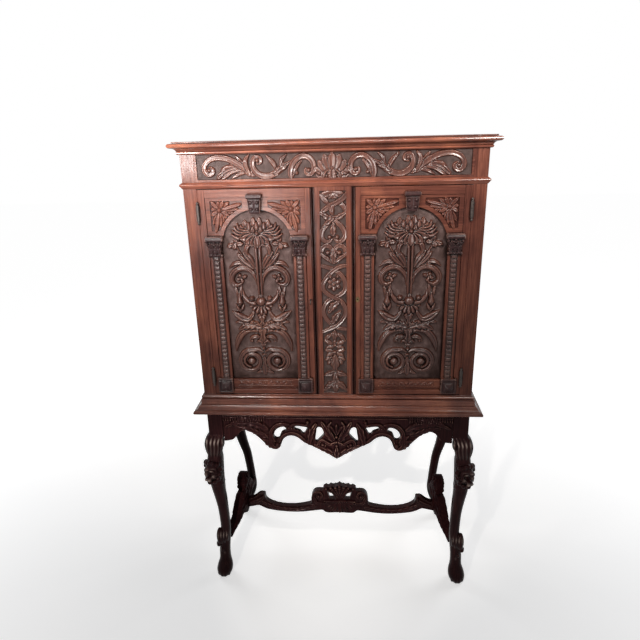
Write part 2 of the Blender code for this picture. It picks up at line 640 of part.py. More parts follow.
cz = Z_CORNICE
co = CORNICE_OUT
corn = [(0.0012, cz), (0.0045, cz + 0.0008)]
corn += arc(0.0040, cz + 0.0056, 0.0046, -70, 70, 5)
corn += smooth_line([(0.0075, cz + 0.0106), (0.0095, cz + 0.0150), (0.0150, cz + 0.0188),
                     (co * 0.78, cz + 0.0204)], 2)
corn += arc(co - 0.0066, cz + CORNICE_H - 0.0067, 0.0066, -75, 75, 6)
corn += [(co * 0.66, cz + CORNICE_H)]
add("cornice_moulding", moulding_mesh(corn), CASE_WOOD)


# Main carved forms of a door panel: rows of (u, height, half width, rise) along each form
PANEL_PAIRS = [
    [(0.014, 0.076, 0.004, 0.006), (0.030, 0.083, 0.008, 0.010), (0.050, 0.082, 0.009, 0.011),
     (0.076, 0.066, 0.009, 0.011), (0.088, 0.034, 0.009, 0.011), (0.076, 0.004, 0.0085, 0.011),
     (0.048, -0.008, 0.008, 0.011), (0.022, 0.008, 0.0075, 0.011), (0.017, 0.034, 0.007, 0.011),
     (0.030, 0.052, 0.007, 0.011), (0.048, 0.051, 0.005, 0.010)],
    [(0.012, 0.132, 0.004, 0.007), (0.026, 0.137, 0.006, 0.010), (0.052, 0.131, 0.007, 0.010),
     (0.077, 0.112, 0.007, 0.010), (0.089, 0.088, 0.004, 0.007)],
    [(0.026, 0.154, 0.005, 0.008), (0.050, 0.172, 0.010, 0.011), (0.070, 0.192, 0.009, 0.011),
     (0.098, 0.204, 0.003, 0.008)],
    [(0.023, 0.246, 0.004, 0.010), (0.036, 0.248, 0.008, 0.011), (0.058, 0.270, 0.003, 0.007)],
    [(0.076, 0.282, 0.004, 0.008), (0.076, 0.258, 0.011, 0.012), (0.076, 0.228, 0.008, 0.011),
     (0.076, 0.206, 0.003, 0.007)],
    [(0.013, 0.306, 0.005, 0.009), (0.017, 0.332, 0.006, 0.011), (0.031, 0.351, 0.007, 0.012),
     (0.054, 0.360, 0.008, 0.012), (0.079, 0.351, 0.008, 0.012), (0.094, 0.331, 0.008, 0.012),
     (0.090, 0.309, 0.007, 0.012), (0.075, 0.302, 0.006, 0.012), (0.062, 0.309, 0.004, 0.011)],
    [(0.014, 0.362, 0.003, 0.007), (0.030, 0.379, 0.008, 0.010), (0.054, 0.386, 0.010, 0.010),
     (0.082, 0.378, 0.007, 0.009), (0.100, 0.356, 0.003, 0.006)],
    [(0.015, 0.404, 0.004, 0.008), (0.022, 0.426, 0.006, 0.011), (0.035, 0.429, 0.006, 0.011),
     (0.042, 0.412, 0.004, 0.010)],
]
PANEL_MIDDLE = [
    [(0.0, 0.060, 0.003, 0.008), (0.0, 0.030, 0.008, 0.011), (0.0, -0.002, 0.008, 0.010),
     (0.0, -0.044, 0.003, 0.006)],
    [(0.0, 0.146, 0.004, 0.008), (0.0, 0.118, 0.011, 0.011), (0.0, 0.082, 0.004, 0.009)],
    [(0.0, 0.222, 0.012, 0.011), (0.0, 0.206, 0.014, 0.010), (0.0, 0.170, 0.004, 0.008)],
    [(0.0, 0.264, 0.004, 0.009), (0.0, 0.330, 0.006, 0.010), (0.0, 0.434, 0.008, 0.011)],
]
PANEL_BALLS = [(0.045, 0.031, 0.0095, 0.013), (0.0, 0.242, 0.0160, 0.016), (0.076, 0.437, 0.0175, 0.011)]
BLOOM = (0.0, 0.480, 0.062, 0.040, 0.014, 9)
KU = INNER_HALF / 0.11795
KD = DOOR_H / 0.7225
PANEL_V = 0.1032


# Scrolls have a flat top, leaves and drops a ridge
def sweep_mesh(rows, ridge):
    bm = bmesh.new()
    rings = []
    last = len(rows) - 1
    low = FIELD_SUNK + 0.001
    for k, (x, z, half, rise) in enumerate(rows):
        a = rows[max(k - 1, 0)]
        b = rows[min(k + 1, last)]
        size = math.hypot(b[0] - a[0], b[1] - a[1])
        nx = -(b[1] - a[1]) / size
        nz = (b[0] - a[0]) / size
        high = FIELD_SUNK - rise
        if ridge:
            section = ((-1, low), (0, high), (1, low))
        else:
            section = ((-1, low), (-0.5, high), (0.5, high), (1, low))
        rings.append([(x + nx * half * share, depth(d), z + nz * half * share) for share, d in section])
    loft_rings(bm, rings)
    return finish(bm)


def bloom_mesh(x, z, half_x, half_z, rise, lobes):
    bm = bmesh.new()
    rings = []
    for share, d in ((1.0, FIELD_SUNK + 0.001), (0.9, FIELD_SUNK - 0.6 * rise), (0.5, FIELD_SUNK - rise)):
        ring = []
        for k in range(2 * lobes):
            turn = math.pi * k / lobes + math.pi / 2
            reach = share * (1.0 if k % 2 == 0 else 0.86)
            ring.append((x + half_x * reach * math.cos(turn), depth(d), z + half_z * reach * math.sin(turn)))
        rings.append(ring)
    loft_rings(bm, rings)
    return finish(bm)


# Doors: drawn about the door centre, u positive towards the hinge, then placed by side
def door(label, side):
    axis = bpy.data.objects.new(label + "_axis", None)
    axis.location = (side * HINGE_X, depth(HINGE_D), Z_DOOR0)
    product.objects.link(axis)
    half = DOOR_W / 2
    made = []

    def px(u):
        return side * (DOOR_C + u)

    def keep(ob):
        made.append(ob)
        return ob

    def span(u0, u1):
        a = px(u0)
        b = px(u1)
        return (min(a, b), max(a, b))

    # Hinge stile with its raised rim and sunk field
    loop = [(half, 0.0), (RIM_IN, 0.0), (RIM_IN, FIELD_SUNK), (INNER_HALF, FIELD_SUNK),
            (INNER_HALF, DOOR_T), (half, DOOR_T)]
    mesh = upright_mesh([(px(u), d) for u, d in loop], Z_DOOR0, Z_DOOR1)
    ob = keep(add(label + "_hinge_stile", mesh, CASE_WOOD))
    x0, x1 = span(half - 0.0014, half + 0.001)
    boolean(ob, leaf_seats(label + "_leaf_seat", x0, x1, True))

    # Meeting stile with a half-round bead on its edge
    loop = [(-half, DOOR_T), (-half, 0.0010)]
    loop += [(-half + 0.0026 - 0.0026 * math.cos(math.radians(a)),
              0.0006 - 0.0026 * math.sin(math.radians(a))) for a in range(0, 181, 30)]
    loop += [(-half + 0.0056, 0.0020), (-half + 0.0062, 0.0), (-RIM_IN, 0.0), (-RIM_IN, FIELD_SUNK),
             (-INNER_HALF, FIELD_SUNK), (-INNER_HALF, DOOR_T)]
    mesh = upright_mesh([(px(u), d) for u, d in loop], Z_DOOR0, Z_DOOR1)
    meet = keep(add(label + "_meeting_stile", mesh, CASE_WOOD))
    key_x = side * KEY_X
    hole = through_mesh(KEY_R + GAP, -0.02, 0.05, key_x, KEY_Z, 12)
    boolean(meet, cutter(label + "_key_way", hole))

    # Rails between the stiles
    inner = INNER_HALF - GAP
    top_low = Z_DOOR1 - 0.0650
    loop = [(0.0, Z_DOOR1), (0.0, Z_DOOR1 - TOP_BAND), (FIELD_SUNK, Z_DOOR1 - TOP_BAND),
            (FIELD_SUNK, top_low), (DOOR_T, top_low), (DOOR_T, Z_DOOR1)]
    x0, x1 = span(-inner, inner)
    lap0, lap1 = span(-(RIM_IN - GAP), RIM_IN - GAP)
    lap_back = FIELD_SUNK - GAP
    rail = keep(add(label + "_top_rail", along_mesh(loop, x0, x1), CASE_WOOD))
    lap = box_mesh((lap0, lap1, 0.0, lap_back, Z_DOOR1 - TOP_BAND, Z_DOOR1))
    boolean(rail, cutter(label + "_top_lap", lap), "UNION")
    z0 = Z_DOOR0
    loop = [(0.0, z0), (0.0, z0 + 0.0135), (0.0012, z0 + 0.0160), (0.0065, z0 + 0.0185),
            (0.0065, z0 + 0.0205), (0.0040, z0 + 0.0225), (0.0040, z0 + 0.0270),
            (0.0015, z0 + 0.0285), (0.0015, z0 + 0.0545), (0.0040, z0 + 0.0565),
            (DOOR_T, z0 + 0.0565), (DOOR_T, z0)]
    rail = keep(add(label + "_bottom_rail", along_mesh(loop, x0, x1), CASE_WOOD))
    lap = box_mesh((lap0, lap1, 0.0, lap_back, z0, z0 + PLINTH_FOOT - GAP))
    boolean(rail, cutter(label + "_bottom_lap", lap), "UNION")
    panel = box_mesh((x0, x1, FIELD_SUNK, DOOR_T - 0.003, z0 + 0.0565 + GAP, top_low - GAP))
    field = keep(add(label + "_panel", panel, CARVED_WOOD))

    def spot(u, v):
        return (px(u * KU), Z_DOOR0 + (PANEL_V + v) * KD)

    forms = []
    for flip in (-1, 1):
        for rows in PANEL_PAIRS:
            line = [(*spot(flip * u, v), w * KU, h) for u, v, w, h in rows]
            forms.append(sweep_mesh(line, len(rows) < 7))
    for rows in PANEL_MIDDLE:
        forms.append(sweep_mesh([(*spot(u, v), w * KU, h) for u, v, w, h in rows], True))
    for u, v, r, h in PANEL_BALLS:
        for flip in ((-1, 1) if u else (1,)):
            x, z = spot(flip * u, v)
            forms.append(lump_mesh((x, FIELD_SUNK, z), (r * KU, h, r * KU), None, 1))
    x, z = spot(BLOOM[0], BLOOM[1])
    forms.append(bloom_mesh(x, z, BLOOM[2] * KU, BLOOM[3] * KU, BLOOM[4], BLOOM[5]))
    boolean(field, cutter(label + "_panel_forms", joined(*forms)), "UNION")

    # Arched spandrel board with two sunk fields
    board = RIM_IN - GAP
    foot_z = ARCH_Z + 0.030
    head_z = Z_DOOR1 - TOP_BAND - GAP
    spring = math.degrees(math.asin(0.030 / ARCH_R))
    loop = [(-board, foot_z)]
    loop += arc(0.0, ARCH_Z, ARCH_R, 180 - spring, spring, 28)
    loop += [(board, foot_z), (board, head_z), (-board, head_z)]
    mesh = front_mesh([[(px(u), z) for u, z in loop]], 0.003, FIELD_SUNK - GAP)
    arch = keep(add(label + "_arch_board", mesh, CASE_WOOD))
    fields = []
    ring_r = ARCH_R + 0.013
    a0 = 180 - math.degrees(math.asin(0.047 / ring_r))
    a1 = 180 - math.degrees(math.acos(0.042 / ring_r))
    for flip in (-1, 1):
        loop = arc(0.0, ARCH_Z, ring_r, a1, a0, 12)
        loop += [(-(board - 0.0150), ARCH_Z + 0.047), (-(board - 0.0150), head_z - 0.010),
                 (-0.042, head_z - 0.010)]
        loop = [(px(flip * u), z) for u, z in loop]
        fields.append(front_mesh([loop], -0.01, 0.0065))
    boolean(arch, cutter(label + "_spandrel_fields", joined(*fields)))

    # Room for the raised rim behind the planted ornament
    def rim_cutter(tag):
        top = box_mesh((px(0) - half - 0.01, px(0) + half + 0.01, -GAP, 0.1, head_z, Z_DOOR1 + 0.02))
        sides = []
        for flip in (-1, 1):
            x0, x1 = span(min(flip * board, flip * (half + 0.02)), max(flip * board, flip * (half + 0.02)))
            sides.append(box_mesh((x0, x1, -GAP, 0.1, Z_DOOR0 - 0.02, head_z - 0.001)))
        return cutter(label + tag, joined(top, *sides))

    def whole(name, first, *others):
        ob = keep(add(name, first, CARVED_WOOD))
        for k, other in enumerate(others):
            boolean(ob, cutter("%s_part%d" % (name, k), other), "UNION")
        return ob

    key = stack_mesh(px(0), [(Z_DOOR1 - 0.0770, 0.0165, -0.0110), (Z_DOOR1 - 0.0720, 0.0175, -0.0135),
                             (Z_DOOR1 - 0.0300, 0.0215, -0.0190), (Z_DOOR1 - 0.0280, 0.0240, -0.0230),
                             (Z_DOOR1 - 0.0155, 0.0245, -0.0240)], 0.003 - GAP)
    key = keep(add(label + "_keystone", key, CARVED_WOOD))
    boolean(key, rim_cutter("_rim_key"))

    # Pilasters, each with its capital, plinth block and pyramid boss
    plinth_top = z0 + 0.0640
    cap_low = ARCH_Z - 0.0375
    for flip, tag in ((-1, "meeting"), (1, "hinge")):
        c = INNER_HALF + GAP + PILASTER_W / 2
        h = PILASTER_W / 2
        loop = [(h, FIELD_SUNK - GAP), (h, -0.0005), (0.0125, -0.0005), (0.0112, 0.0012)]
        loop += [(0.0105 * math.cos(math.radians(a)), 0.0010 - 0.0085 * math.sin(math.radians(a)))
                 for a in range(0, 181, 20)]
        loop += [(-0.0112, 0.0012), (-0.0125, -0.0005), (-h, -0.0005), (-h, FIELD_SUNK - GAP)]
        shaft = upright_mesh([(px(flip * (c + u)), d) for u, d in loop],
                             plinth_top - 0.003, cap_low + 0.003)
        cc = INNER_HALF + 0.0220
        rows = [(cap_low, 0.0215, -0.0100), (cap_low + 0.0015, 0.0235, -0.0130),
                (cap_low + 0.0070, 0.0235, -0.0130), (cap_low + 0.0090, 0.0195, -0.0090),
                (cap_low + 0.0300, 0.0210, -0.0115), (cap_low + 0.0430, 0.0260, -0.0170),
                (cap_low + 0.0520, 0.0275, -0.0190), (cap_low + 0.0535, 0.0290, -0.0215),
                (cap_low + 0.0610, 0.0290, -0.0215), (cap_low + 0.0672, 0.0275, -0.0195)]
        cap = stack_mesh(px(flip * cc), rows, FIELD_SUNK - GAP)
        cb = INNER_HALF + GAP + 0.0255
        rows = [(z0 + PLINTH_FOOT, 0.0250, -0.0100), (z0 + 0.0095, 0.0255, -0.0110),
                (z0 + 0.0530, 0.0255, -0.0110), (z0 + 0.0545, 0.0240, -0.0095),
                (z0 + 0.0570, 0.0250, -0.0120), (plinth_top, 0.0250, -0.0120)]
        block = stack_mesh(px(flip * cb), rows, FIELD_SUNK - GAP)
        bm = bmesh.new()
        bmesh.ops.create_cone(bm, cap_ends=True, segments=4, radius1=0.0240, radius2=0.0010, depth=0.0100)
        turn = Matrix.Rotation(math.pi / 2, 4, "X") @ Matrix.Rotation(math.pi / 4, 4, "Z")
        place = Matrix.Translation((px(flip * cb), depth(-0.0155), z0 + 0.0310))
        bmesh.ops.transform(bm, matrix=place @ turn, verts=bm.verts[:])
        ob = whole("%s_pilaster_%s" % (label, tag), shaft, cap, block, finish(bm))
        boolean(ob, rim_cutter("_rim_" + tag))

    # Oval escutcheon, lock case and bolt
    if side > 0:
        plate = through_mesh(0.0060, -0.0012 - GAP, -GAP, key_x, KEY_Z, 20, 1.65)
        plate = keep(add(label + "_escutcheon", plate, BRASS))
        way = through_mesh(KEY_R + GAP, -0.02, 0.02, key_x, KEY_Z, 12)
        boolean(plate, cutter(label + "_plate_way", way))
    lx0, lx1 = sided(side, DOOR_IN_X + 0.0010, DOOR_IN_X + 0.0460)
    d0 = DOOR_T + GAP
    lock = box_mesh((lx0, lx1, d0, d0 + 0.0125, KEY_Z - 0.024, KEY_Z + 0.034))
    lock = keep(add(label + "_lock_case", lock, IRON))
    boolean(lock, cutter(label + "_lock_way", through_mesh(KEY_R + GAP, 0.0, 0.06, key_x, KEY_Z, 12)))
    boolean(lock, cutter(label + "_ward", through_mesh(0.0090, d0 + 0.0030, d0 + 0.0095, key_x, KEY_Z, 16)))
    bx0, bx1 = sided(side, DOOR_IN_X - 0.01, DOOR_IN_X + 0.0405)
    channel = box_mesh((bx0, bx1, d0 + 0.0032, d0 + 0.0093, KEY_Z + 0.0125, KEY_Z + 0.0275))
    boolean(lock, cutter(label + "_channel", channel))
    bx0, bx1 = sided(side, DOOR_IN_X + 0.0012, DOOR_IN_X + 0.0400)
    bolt = box_mesh((bx0, bx1, d0 + 0.0035, d0 + 0.0090, KEY_Z + 0.0128, KEY_Z + 0.0272))
    keep(add(label + "_bolt", bolt, IRON))

    # Door leaves of the pin hinges
    for z, tag in zip(hinge_levels(), ("lower", "upper")):
        knuckle = tube_mesh(HINGE_R, z + GAP, z + HINGE_L / 2, side * HINGE_X, HINGE_D)
        x0, x1 = span(half - 0.0012, half - GAP)
        plate = box_mesh((x0, x1, HINGE_D, 0.0180, z + GAP, z + HINGE_L / 2))
        name = "%s_hinge_leaf_%s" % (label, tag)
        ob = keep(add(name, knuckle, IRON, True))
        boolean(ob, cutter(name + "_plate", plate), "UNION")
        bore = tube_mesh(0.0028, z - 0.01, z + HINGE_L / 2 + 0.01, side * HINGE_X, HINGE_D, 12)
        boolean(ob, cutter(name + "_bore", bore))

    for ob in made:
        ob.parent = axis
        ob.matrix_parent_inverse = Matrix.Translation(-axis.location)


door("left_door", -1)
door("right_door", 1)


# Case leaves with pins and ball ends, four alike
def turned_mesh(rows, x, d, sides=12):
    bm = bmesh.new()
    line = [bm.verts.new((r, 0.0, h)) for r, h in rows]
    edges = [bm.edges.new(pair) for pair in zip(line, line[1:])]
    bmesh.ops.spin(bm, geom=line + edges, cent=(0, 0, 0), axis=(0, 0, 1), angle=2 * math.pi,
                   steps=sides, use_merge=True)
    bmesh.ops.remove_doubles(bm, verts=bm.verts[:], dist=0.00001)
    bmesh.ops.translate(bm, verts=bm.verts[:], vec=(x, depth(d), 0.0))
    return finish(bm)


def case_leaf(name, side, z):
    x = side * HINGE_X
    low = z - HINGE_L / 2
    high = z + HINGE_L / 2
    ob = add(name, tube_mesh(HINGE_R, low, z - GAP, x, HINGE_D), IRON, True)
    x0, x1 = sided(side, STILE_IN + GAP, STILE_IN + 0.0012)
    plate = box_mesh((x0, x1, HINGE_D, 0.0180, low, z - GAP))
    boolean(ob, cutter(name + "_plate", plate), "UNION")
    rows = [(0.0, high + 0.0118), (0.0030, high + 0.0108), (0.0046, high + 0.0075),
            (0.0030, high + 0.0042), (0.0040, high + 0.0020), (0.0040, high + GAP),
            (0.0025, high + GAP), (0.0025, low + 0.004), (0.0, low + 0.004)]
    boolean(ob, cutter(name + "_pin", turned_mesh(rows, x, HINGE_D)), "UNION")
    rows = [(0.0, low + 0.003), (0.0040, low + 0.003), (0.0040, low - 0.0020), (0.0030, low - 0.0042),
            (0.0046, low - 0.0075), (0.0030, low - 0.0108), (0.0, low - 0.0118)]
    boolean(ob, cutter(name + "_ball", turned_mesh(rows, x, HINGE_D)), "UNION")


for side_name, sign in (("left", -1), ("right", 1)):
    for level, tag in zip(hinge_levels(), ("lower", "upper")):
        case_leaf("case_hinge_%s_%s" % (side_name, tag), sign, level)

# Key standing in the left lock, its bow upright
key_x = -KEY_X
bow_ring = bmesh.new()
ring_mesh = bpy.data.curves.new("bow", "CURVE")
ring_mesh.dimensions = "3D"
ring_mesh.bevel_depth = 0.0014
ring_mesh.bevel_resolution = 1
ring = ring_mesh.splines.new("POLY")
ring.points.add(19)
for k, point in enumerate(ring.points):
    a = 2 * math.pi * k / 20
    point.co = (0.0, 0.0072 * math.cos(a), 0.0092 * math.sin(a), 1.0)
ring.use_cyclic_u = True
ring_ob = bpy.data.objects.new("bow", ring_mesh)
tools.objects.link(ring_ob)
bpy.context.view_layer.update()
graph = bpy.context.evaluated_depsgraph_get()
mesh = bpy.data.meshes.new_from_object(ring_ob.evaluated_get(graph))
bpy.data.objects.remove(ring_ob, do_unlink=True)
bpy.data.curves.remove(ring_mesh)
mesh.transform(Matrix.Translation((key_x, depth(-0.0260), KEY_Z)))
bow_ring.from_mesh(mesh)
bmesh.ops.remove_doubles(bow_ring, verts=bow_ring.verts[:], dist=0.000001)
bpy.data.meshes.remove(mesh)
key = add("key", through_mesh(KEY_R, -0.0195, DOOR_T + 0.0090, key_x, KEY_Z, 12), IRON, True)
boolean(key, cutter("key_bow", finish(bow_ring)), "UNION")
bit = box_mesh((key_x - 0.0010, key_x + 0.0010, DOOR_T + 0.0045, DOOR_T + 0.0085, KEY_Z - 0.0075, KEY_Z))
boolean(key, cutter("key_bit", bit), "UNION")
key_axis = bpy.data.objects.new("key_axis", None)
key_axis.location = (key_x, depth(0.0), KEY_Z)
product.objects.link(key_axis)
key.parent = key_axis
key.matrix_parent_inverse = Matrix.Translation(-key_axis.location)
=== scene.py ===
"""Carved cabinet on a lion-legged stand: the looks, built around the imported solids."""
import json
import math

import bmesh
import bpy
import numpy as np
from mathutils import Matrix, Vector


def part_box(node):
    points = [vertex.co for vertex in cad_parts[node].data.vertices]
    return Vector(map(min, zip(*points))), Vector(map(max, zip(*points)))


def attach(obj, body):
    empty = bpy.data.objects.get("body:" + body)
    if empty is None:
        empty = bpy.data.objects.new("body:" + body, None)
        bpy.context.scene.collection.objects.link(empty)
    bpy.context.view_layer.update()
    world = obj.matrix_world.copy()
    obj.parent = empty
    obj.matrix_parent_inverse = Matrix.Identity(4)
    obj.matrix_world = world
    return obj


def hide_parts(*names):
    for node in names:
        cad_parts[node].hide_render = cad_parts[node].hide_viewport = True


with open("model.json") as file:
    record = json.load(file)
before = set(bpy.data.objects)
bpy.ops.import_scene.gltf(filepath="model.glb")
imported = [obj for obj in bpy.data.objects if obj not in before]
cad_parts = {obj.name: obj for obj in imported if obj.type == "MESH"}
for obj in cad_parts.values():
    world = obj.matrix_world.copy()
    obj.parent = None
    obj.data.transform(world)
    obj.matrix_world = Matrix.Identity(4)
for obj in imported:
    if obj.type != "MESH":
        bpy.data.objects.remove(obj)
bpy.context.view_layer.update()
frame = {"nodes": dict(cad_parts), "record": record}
NODES = frame["nodes"]
SLOT_OF = {row["node"]: row["material_slot"] for row in frame["record"]["subparts"]}
SIDES = (("left", -1), ("right", 1))
scene = bpy.context.scene
scene.view_settings.view_transform = "Standard"

# Camera of the photograph
CAMERA_AT = (0.0706, -1.9245, 1.7280)
FOCAL_PX = 531.95
YAW, PITCH, ROLL = 0.0701, 0.3319, -0.0258
PHOTO_PX, SENSOR = 640, 36.0


def place_camera():
    fwd = Vector((-math.sin(YAW) * math.cos(PITCH), math.cos(YAW) * math.cos(PITCH), -math.sin(PITCH)))
    right = Vector((math.cos(YAW), math.sin(YAW), 0.0))
    up = right.cross(fwd)
    r2 = math.cos(ROLL) * right + math.sin(ROLL) * up
    u2 = math.cos(ROLL) * up - math.sin(ROLL) * right
    data = bpy.data.cameras.new("camera")
    data.sensor_width = SENSOR
    data.lens = FOCAL_PX / PHOTO_PX * SENSOR
    data.clip_start = 0.05
    ob = bpy.data.objects.new("camera", data)
    scene.collection.objects.link(ob)
    turn = Matrix((r2, u2, -fwd)).transposed().to_4x4()
    ob.matrix_world = Matrix.Translation(CAMERA_AT) @ turn
    scene.camera = ob


place_camera()


# Node helpers
class Nodes:
    """The node tree of a material or a world."""

    def __init__(self, owner):
        owner.use_nodes = True
        self.t = owner.node_tree

    def node(self, kind, **values):
        n = self.t.nodes.new(kind)
        for key, value in values.items():
            if key in n.inputs:
                n.inputs[key].default_value = value
            else:
                setattr(n, key, value)
        return n

    def link(self, a, b):
        self.t.links.new(a, b)


class Tree(Nodes):
    """The node tree of a new material, round its main shader."""

    def __init__(self, name):
        self.mat = bpy.data.materials.new(name)
        super().__init__(self.mat)
        self.bsdf = self.t.nodes["Principled BSDF"]

    def ramp(self, source, stops, smooth=False):
        n = self.t.nodes.new("ShaderNodeValToRGB")
        n.color_ramp.interpolation = "EASE" if smooth else "LINEAR"
        el = n.color_ramp.elements
        while len(el) < len(stops):
            el.new(0.5)
        for e, (pos, col) in zip(el, stops):
            e.position = pos
            e.color = (*col, 1.0) if not isinstance(col, float) else (col, col, col, 1.0)
        self.link(source, n.inputs["Fac"])
        return n.outputs["Color"]

    def mix(self, blend, fac, a, b):
        n = self.t.nodes.new("ShaderNodeMix")
        n.data_type = "RGBA"
        n.blend_type = blend
        for value, socket in ((fac, n.inputs[0]), (a, n.inputs[6]), (b, n.inputs[7])):
            if isinstance(value, bpy.types.NodeSocket):
                self.link(value, socket)
            elif isinstance(value, float):
                socket.default_value = value
            else:
                socket.default_value = (*value, 1.0)
        return n.outputs[2]

    def noise(self, scale, detail=4.0, rough=0.55, distort=0.0):
        tc = self.node("ShaderNodeTexCoord")
        mp = self.node("ShaderNodeMapping")
        mp.inputs["Scale"].default_value = scale
        self.link(tc.outputs["Object"], mp.inputs["Vector"])
        n = self.node("ShaderNodeTexNoise", Scale=1.0, Detail=detail, Roughness=rough, Distortion=distort)
        self.link(mp.outputs["Vector"], n.inputs["Vector"])
        return n.outputs["Fac"]

    def place_on(self, axis):
        tc = self.node("ShaderNodeTexCoord")
        split = self.node("ShaderNodeSeparateXYZ")
        self.link(tc.outputs["Object"], split.inputs[0])
        return split.outputs[axis]

    def behind(self, y):
        """Dark on the fields that lie deeper than y."""
        n = self.node("ShaderNodeMath", operation="GREATER_THAN")
        self.link(self.place_on("Y"), n.inputs[0])
        n.inputs[1].default_value = y
        return self.ramp(n.outputs[0], [(0.0, 1.0), (1.0, (0.50, 0.44, 0.44))])

    def painted_gap_shade(self, x, reach):
        """Painted shade: dark close to the two upright lines at plus and minus x, standing in for the
        shadow in the gaps there.
        """
        last = self.place_on("X")
        for operation, value in (("ABSOLUTE", 0.0), ("SUBTRACT", x), ("ABSOLUTE", 0.0), ("DIVIDE", reach)):
            n = self.node("ShaderNodeMath", operation=operation)
            self.link(last, n.inputs[0])
            n.inputs[1].default_value = value
            last = n.outputs[0]
        return self.ramp(last, [(0.25, (0.16, 0.12, 0.12)), (1.0, 1.0)], True)


def along(axis, across, length):
    """Texture scale that runs lengthwise on one axis."""
    scale = [across] * 3
    scale[axis] = length
    return tuple(scale)


# Painted shade colour for the hollows of the carving
HOLLOW_SHADE = (0.16, 0.10, 0.08)
BLOTCHES = [(0.30, (0.50, 0.47, 0.52)), (0.52, (0.95, 0.94, 0.96)), (0.72, (1.40, 1.46, 1.34))]


# Waxed walnut: figure, pores and blotches, with painted shade where ambient occlusion finds corners; the
# carved kind adds wear mixed with a painted highlight on high edges and painted shade in hollows, and
# marked crests can get painted glints
def wood(name, tones, axis=2, rough=(0.15, 0.31), carved=False, wear_and_highlight=None, gloss=0.11, grain=0.22,
         tint=None, gap=None, glint_tone=None, recess=None):
    m = Tree(name)
    figure = m.noise(along(axis, 150.0, 4.5), 6.0, 0.66, 0.5)
    colour = m.ramp(figure, [(0.22, tones[0]), (0.50, tones[1]), (0.80, tones[2])])
    blotch = m.ramp(m.noise((6.0, 6.0, 3.5), 4.0, 0.6, 0.6), BLOTCHES)
    colour = m.mix("MULTIPLY", 1.0, colour, blotch)
    pores = m.noise(along(axis, 1100.0, 26.0), 2.0)
    colour = m.mix("MULTIPLY", 0.68, colour, m.ramp(pores, [(0.34, 0.35), (0.46, 1.0)]))
    height = m.mix("MIX", 0.5, figure, m.ramp(pores, [(0.32, 0.0), (0.48, 1.0)]))
    # Painted shade: the colour is darkened where ambient occlusion finds corners, gaps and hollows
    occlusion_shade = m.node("ShaderNodeAmbientOcclusion", samples=6, Distance=0.014)
    colour = m.mix("MULTIPLY", 1.0, colour, m.ramp(occlusion_shade.outputs["AO"],
                                                   [(0.30, (0.22, 0.16, 0.15)), (0.80, 1.0)]))
    if carved:
        # Painted shade in the hollows of the carving, where pointiness is low
        point = m.node("ShaderNodeNewGeometry").outputs["Pointiness"]
        hollow = m.ramp(point, [(0.425, 1.0), (0.50, 0.0)], True)
        hollow_shade = m.mix("MIX", hollow, (1.0, 1.0, 1.0), HOLLOW_SHADE)
        colour = m.mix("MULTIPLY", 1.0, colour, hollow_shade)
        # High edges: a lighter wear colour that is also a painted highlight
        edge = m.ramp(point, [(0.525, 0.0), (0.62, 1.0)], True)
        patch = m.ramp(m.noise((26.0, 26.0, 26.0), 4.0), [(0.38, 0.25), (0.62, 1.0)])
        edge = m.mix("MULTIPLY", 1.0, edge, patch)
        colour = m.mix("MIX", edge, colour, wear_and_highlight or tones[2])
    # Painted glints: a bright tone laid on the crests marked in a mesh attribute
    if glint_tone:
        painted_glint = m.node("ShaderNodeAttribute", attribute_name="painted_glint")
        colour = m.mix("MIX", painted_glint.outputs["Fac"], colour, glint_tone)
    if recess:
        colour = m.mix("MULTIPLY", 1.0, colour, m.behind(recess))
    # Painted shade along the gap lines
    if gap:
        colour = m.mix("MULTIPLY", 1.0, colour, m.painted_gap_shade(*gap))
    m.link(colour, m.bsdf.inputs["Base Color"])
    sheen = m.node("ShaderNodeMapRange")
    sheen.inputs["To Min"].default_value = rough[0]
    sheen.inputs["To Max"].default_value = rough[1]
    m.link(m.noise((38.0, 38.0, 38.0), 5.0), sheen.inputs["Value"])
    m.link(sheen.outputs["Result"], m.bsdf.inputs["Roughness"])
    bump = m.node("ShaderNodeBump", Strength=grain, Distance=0.0006)
    m.link(height, bump.inputs["Height"])
    m.link(bump.outputs["Normal"], m.bsdf.inputs["Normal"])
    m.bsdf.inputs["Specular IOR Level"].default_value = gloss
    if tint:
        m.bsdf.inputs["Specular Tint"].default_value = (*tint, 1.0)
    return m.mat


# Punched ground behind the carving
def matted(name, tones):
    m = Tree(name)
    colour = m.ramp(m.noise((60.0, 60.0, 40.0), 5.0),
                    [(0.30, tones[0]), (0.55, tones[1]), (0.75, tones[2])])
    tc = m.node("ShaderNodeTexCoord")
    cells = m.node("ShaderNodeTexVoronoi", Scale=420.0, Randomness=0.8)
    m.link(tc.outputs["Object"], cells.inputs["Vector"])
    dots = m.ramp(cells.outputs["Distance"], [(0.10, 0.30), (0.55, 1.0)])
    colour = m.mix("MULTIPLY", 0.75, colour, dots)
    m.link(colour, m.bsdf.inputs["Base Color"])
    m.bsdf.inputs["Roughness"].default_value = 0.50
    m.bsdf.inputs["Specular IOR Level"].default_value = 0.12
    bump = m.node("ShaderNodeBump", Strength=0.7, Distance=0.0010)
    m.link(dots, bump.inputs["Height"])
    m.link(bump.outputs["Normal"], m.bsdf.inputs["Normal"])
    return m.mat


def metal(name, tones, rough, metallic):
    m = Tree(name)
    patches = m.noise((160.0, 160.0, 160.0), 5.0)
    m.link(m.ramp(patches, [(0.32, tones[0]), (0.68, tones[1])]), m.bsdf.inputs["Base Color"])
    m.bsdf.inputs["Metallic"].default_value = metallic
    m.link(m.ramp(patches, [(0.3, rough[0]), (0.7, rough[1])]), m.bsdf.inputs["Roughness"])
    bump = m.node("ShaderNodeBump", Strength=0.25, Distance=0.0004)
    m.link(m.noise((700.0, 700.0, 700.0), 3.0), bump.inputs["Height"])
    m.link(bump.outputs["Normal"], m.bsdf.inputs["Normal"])
    return m.mat


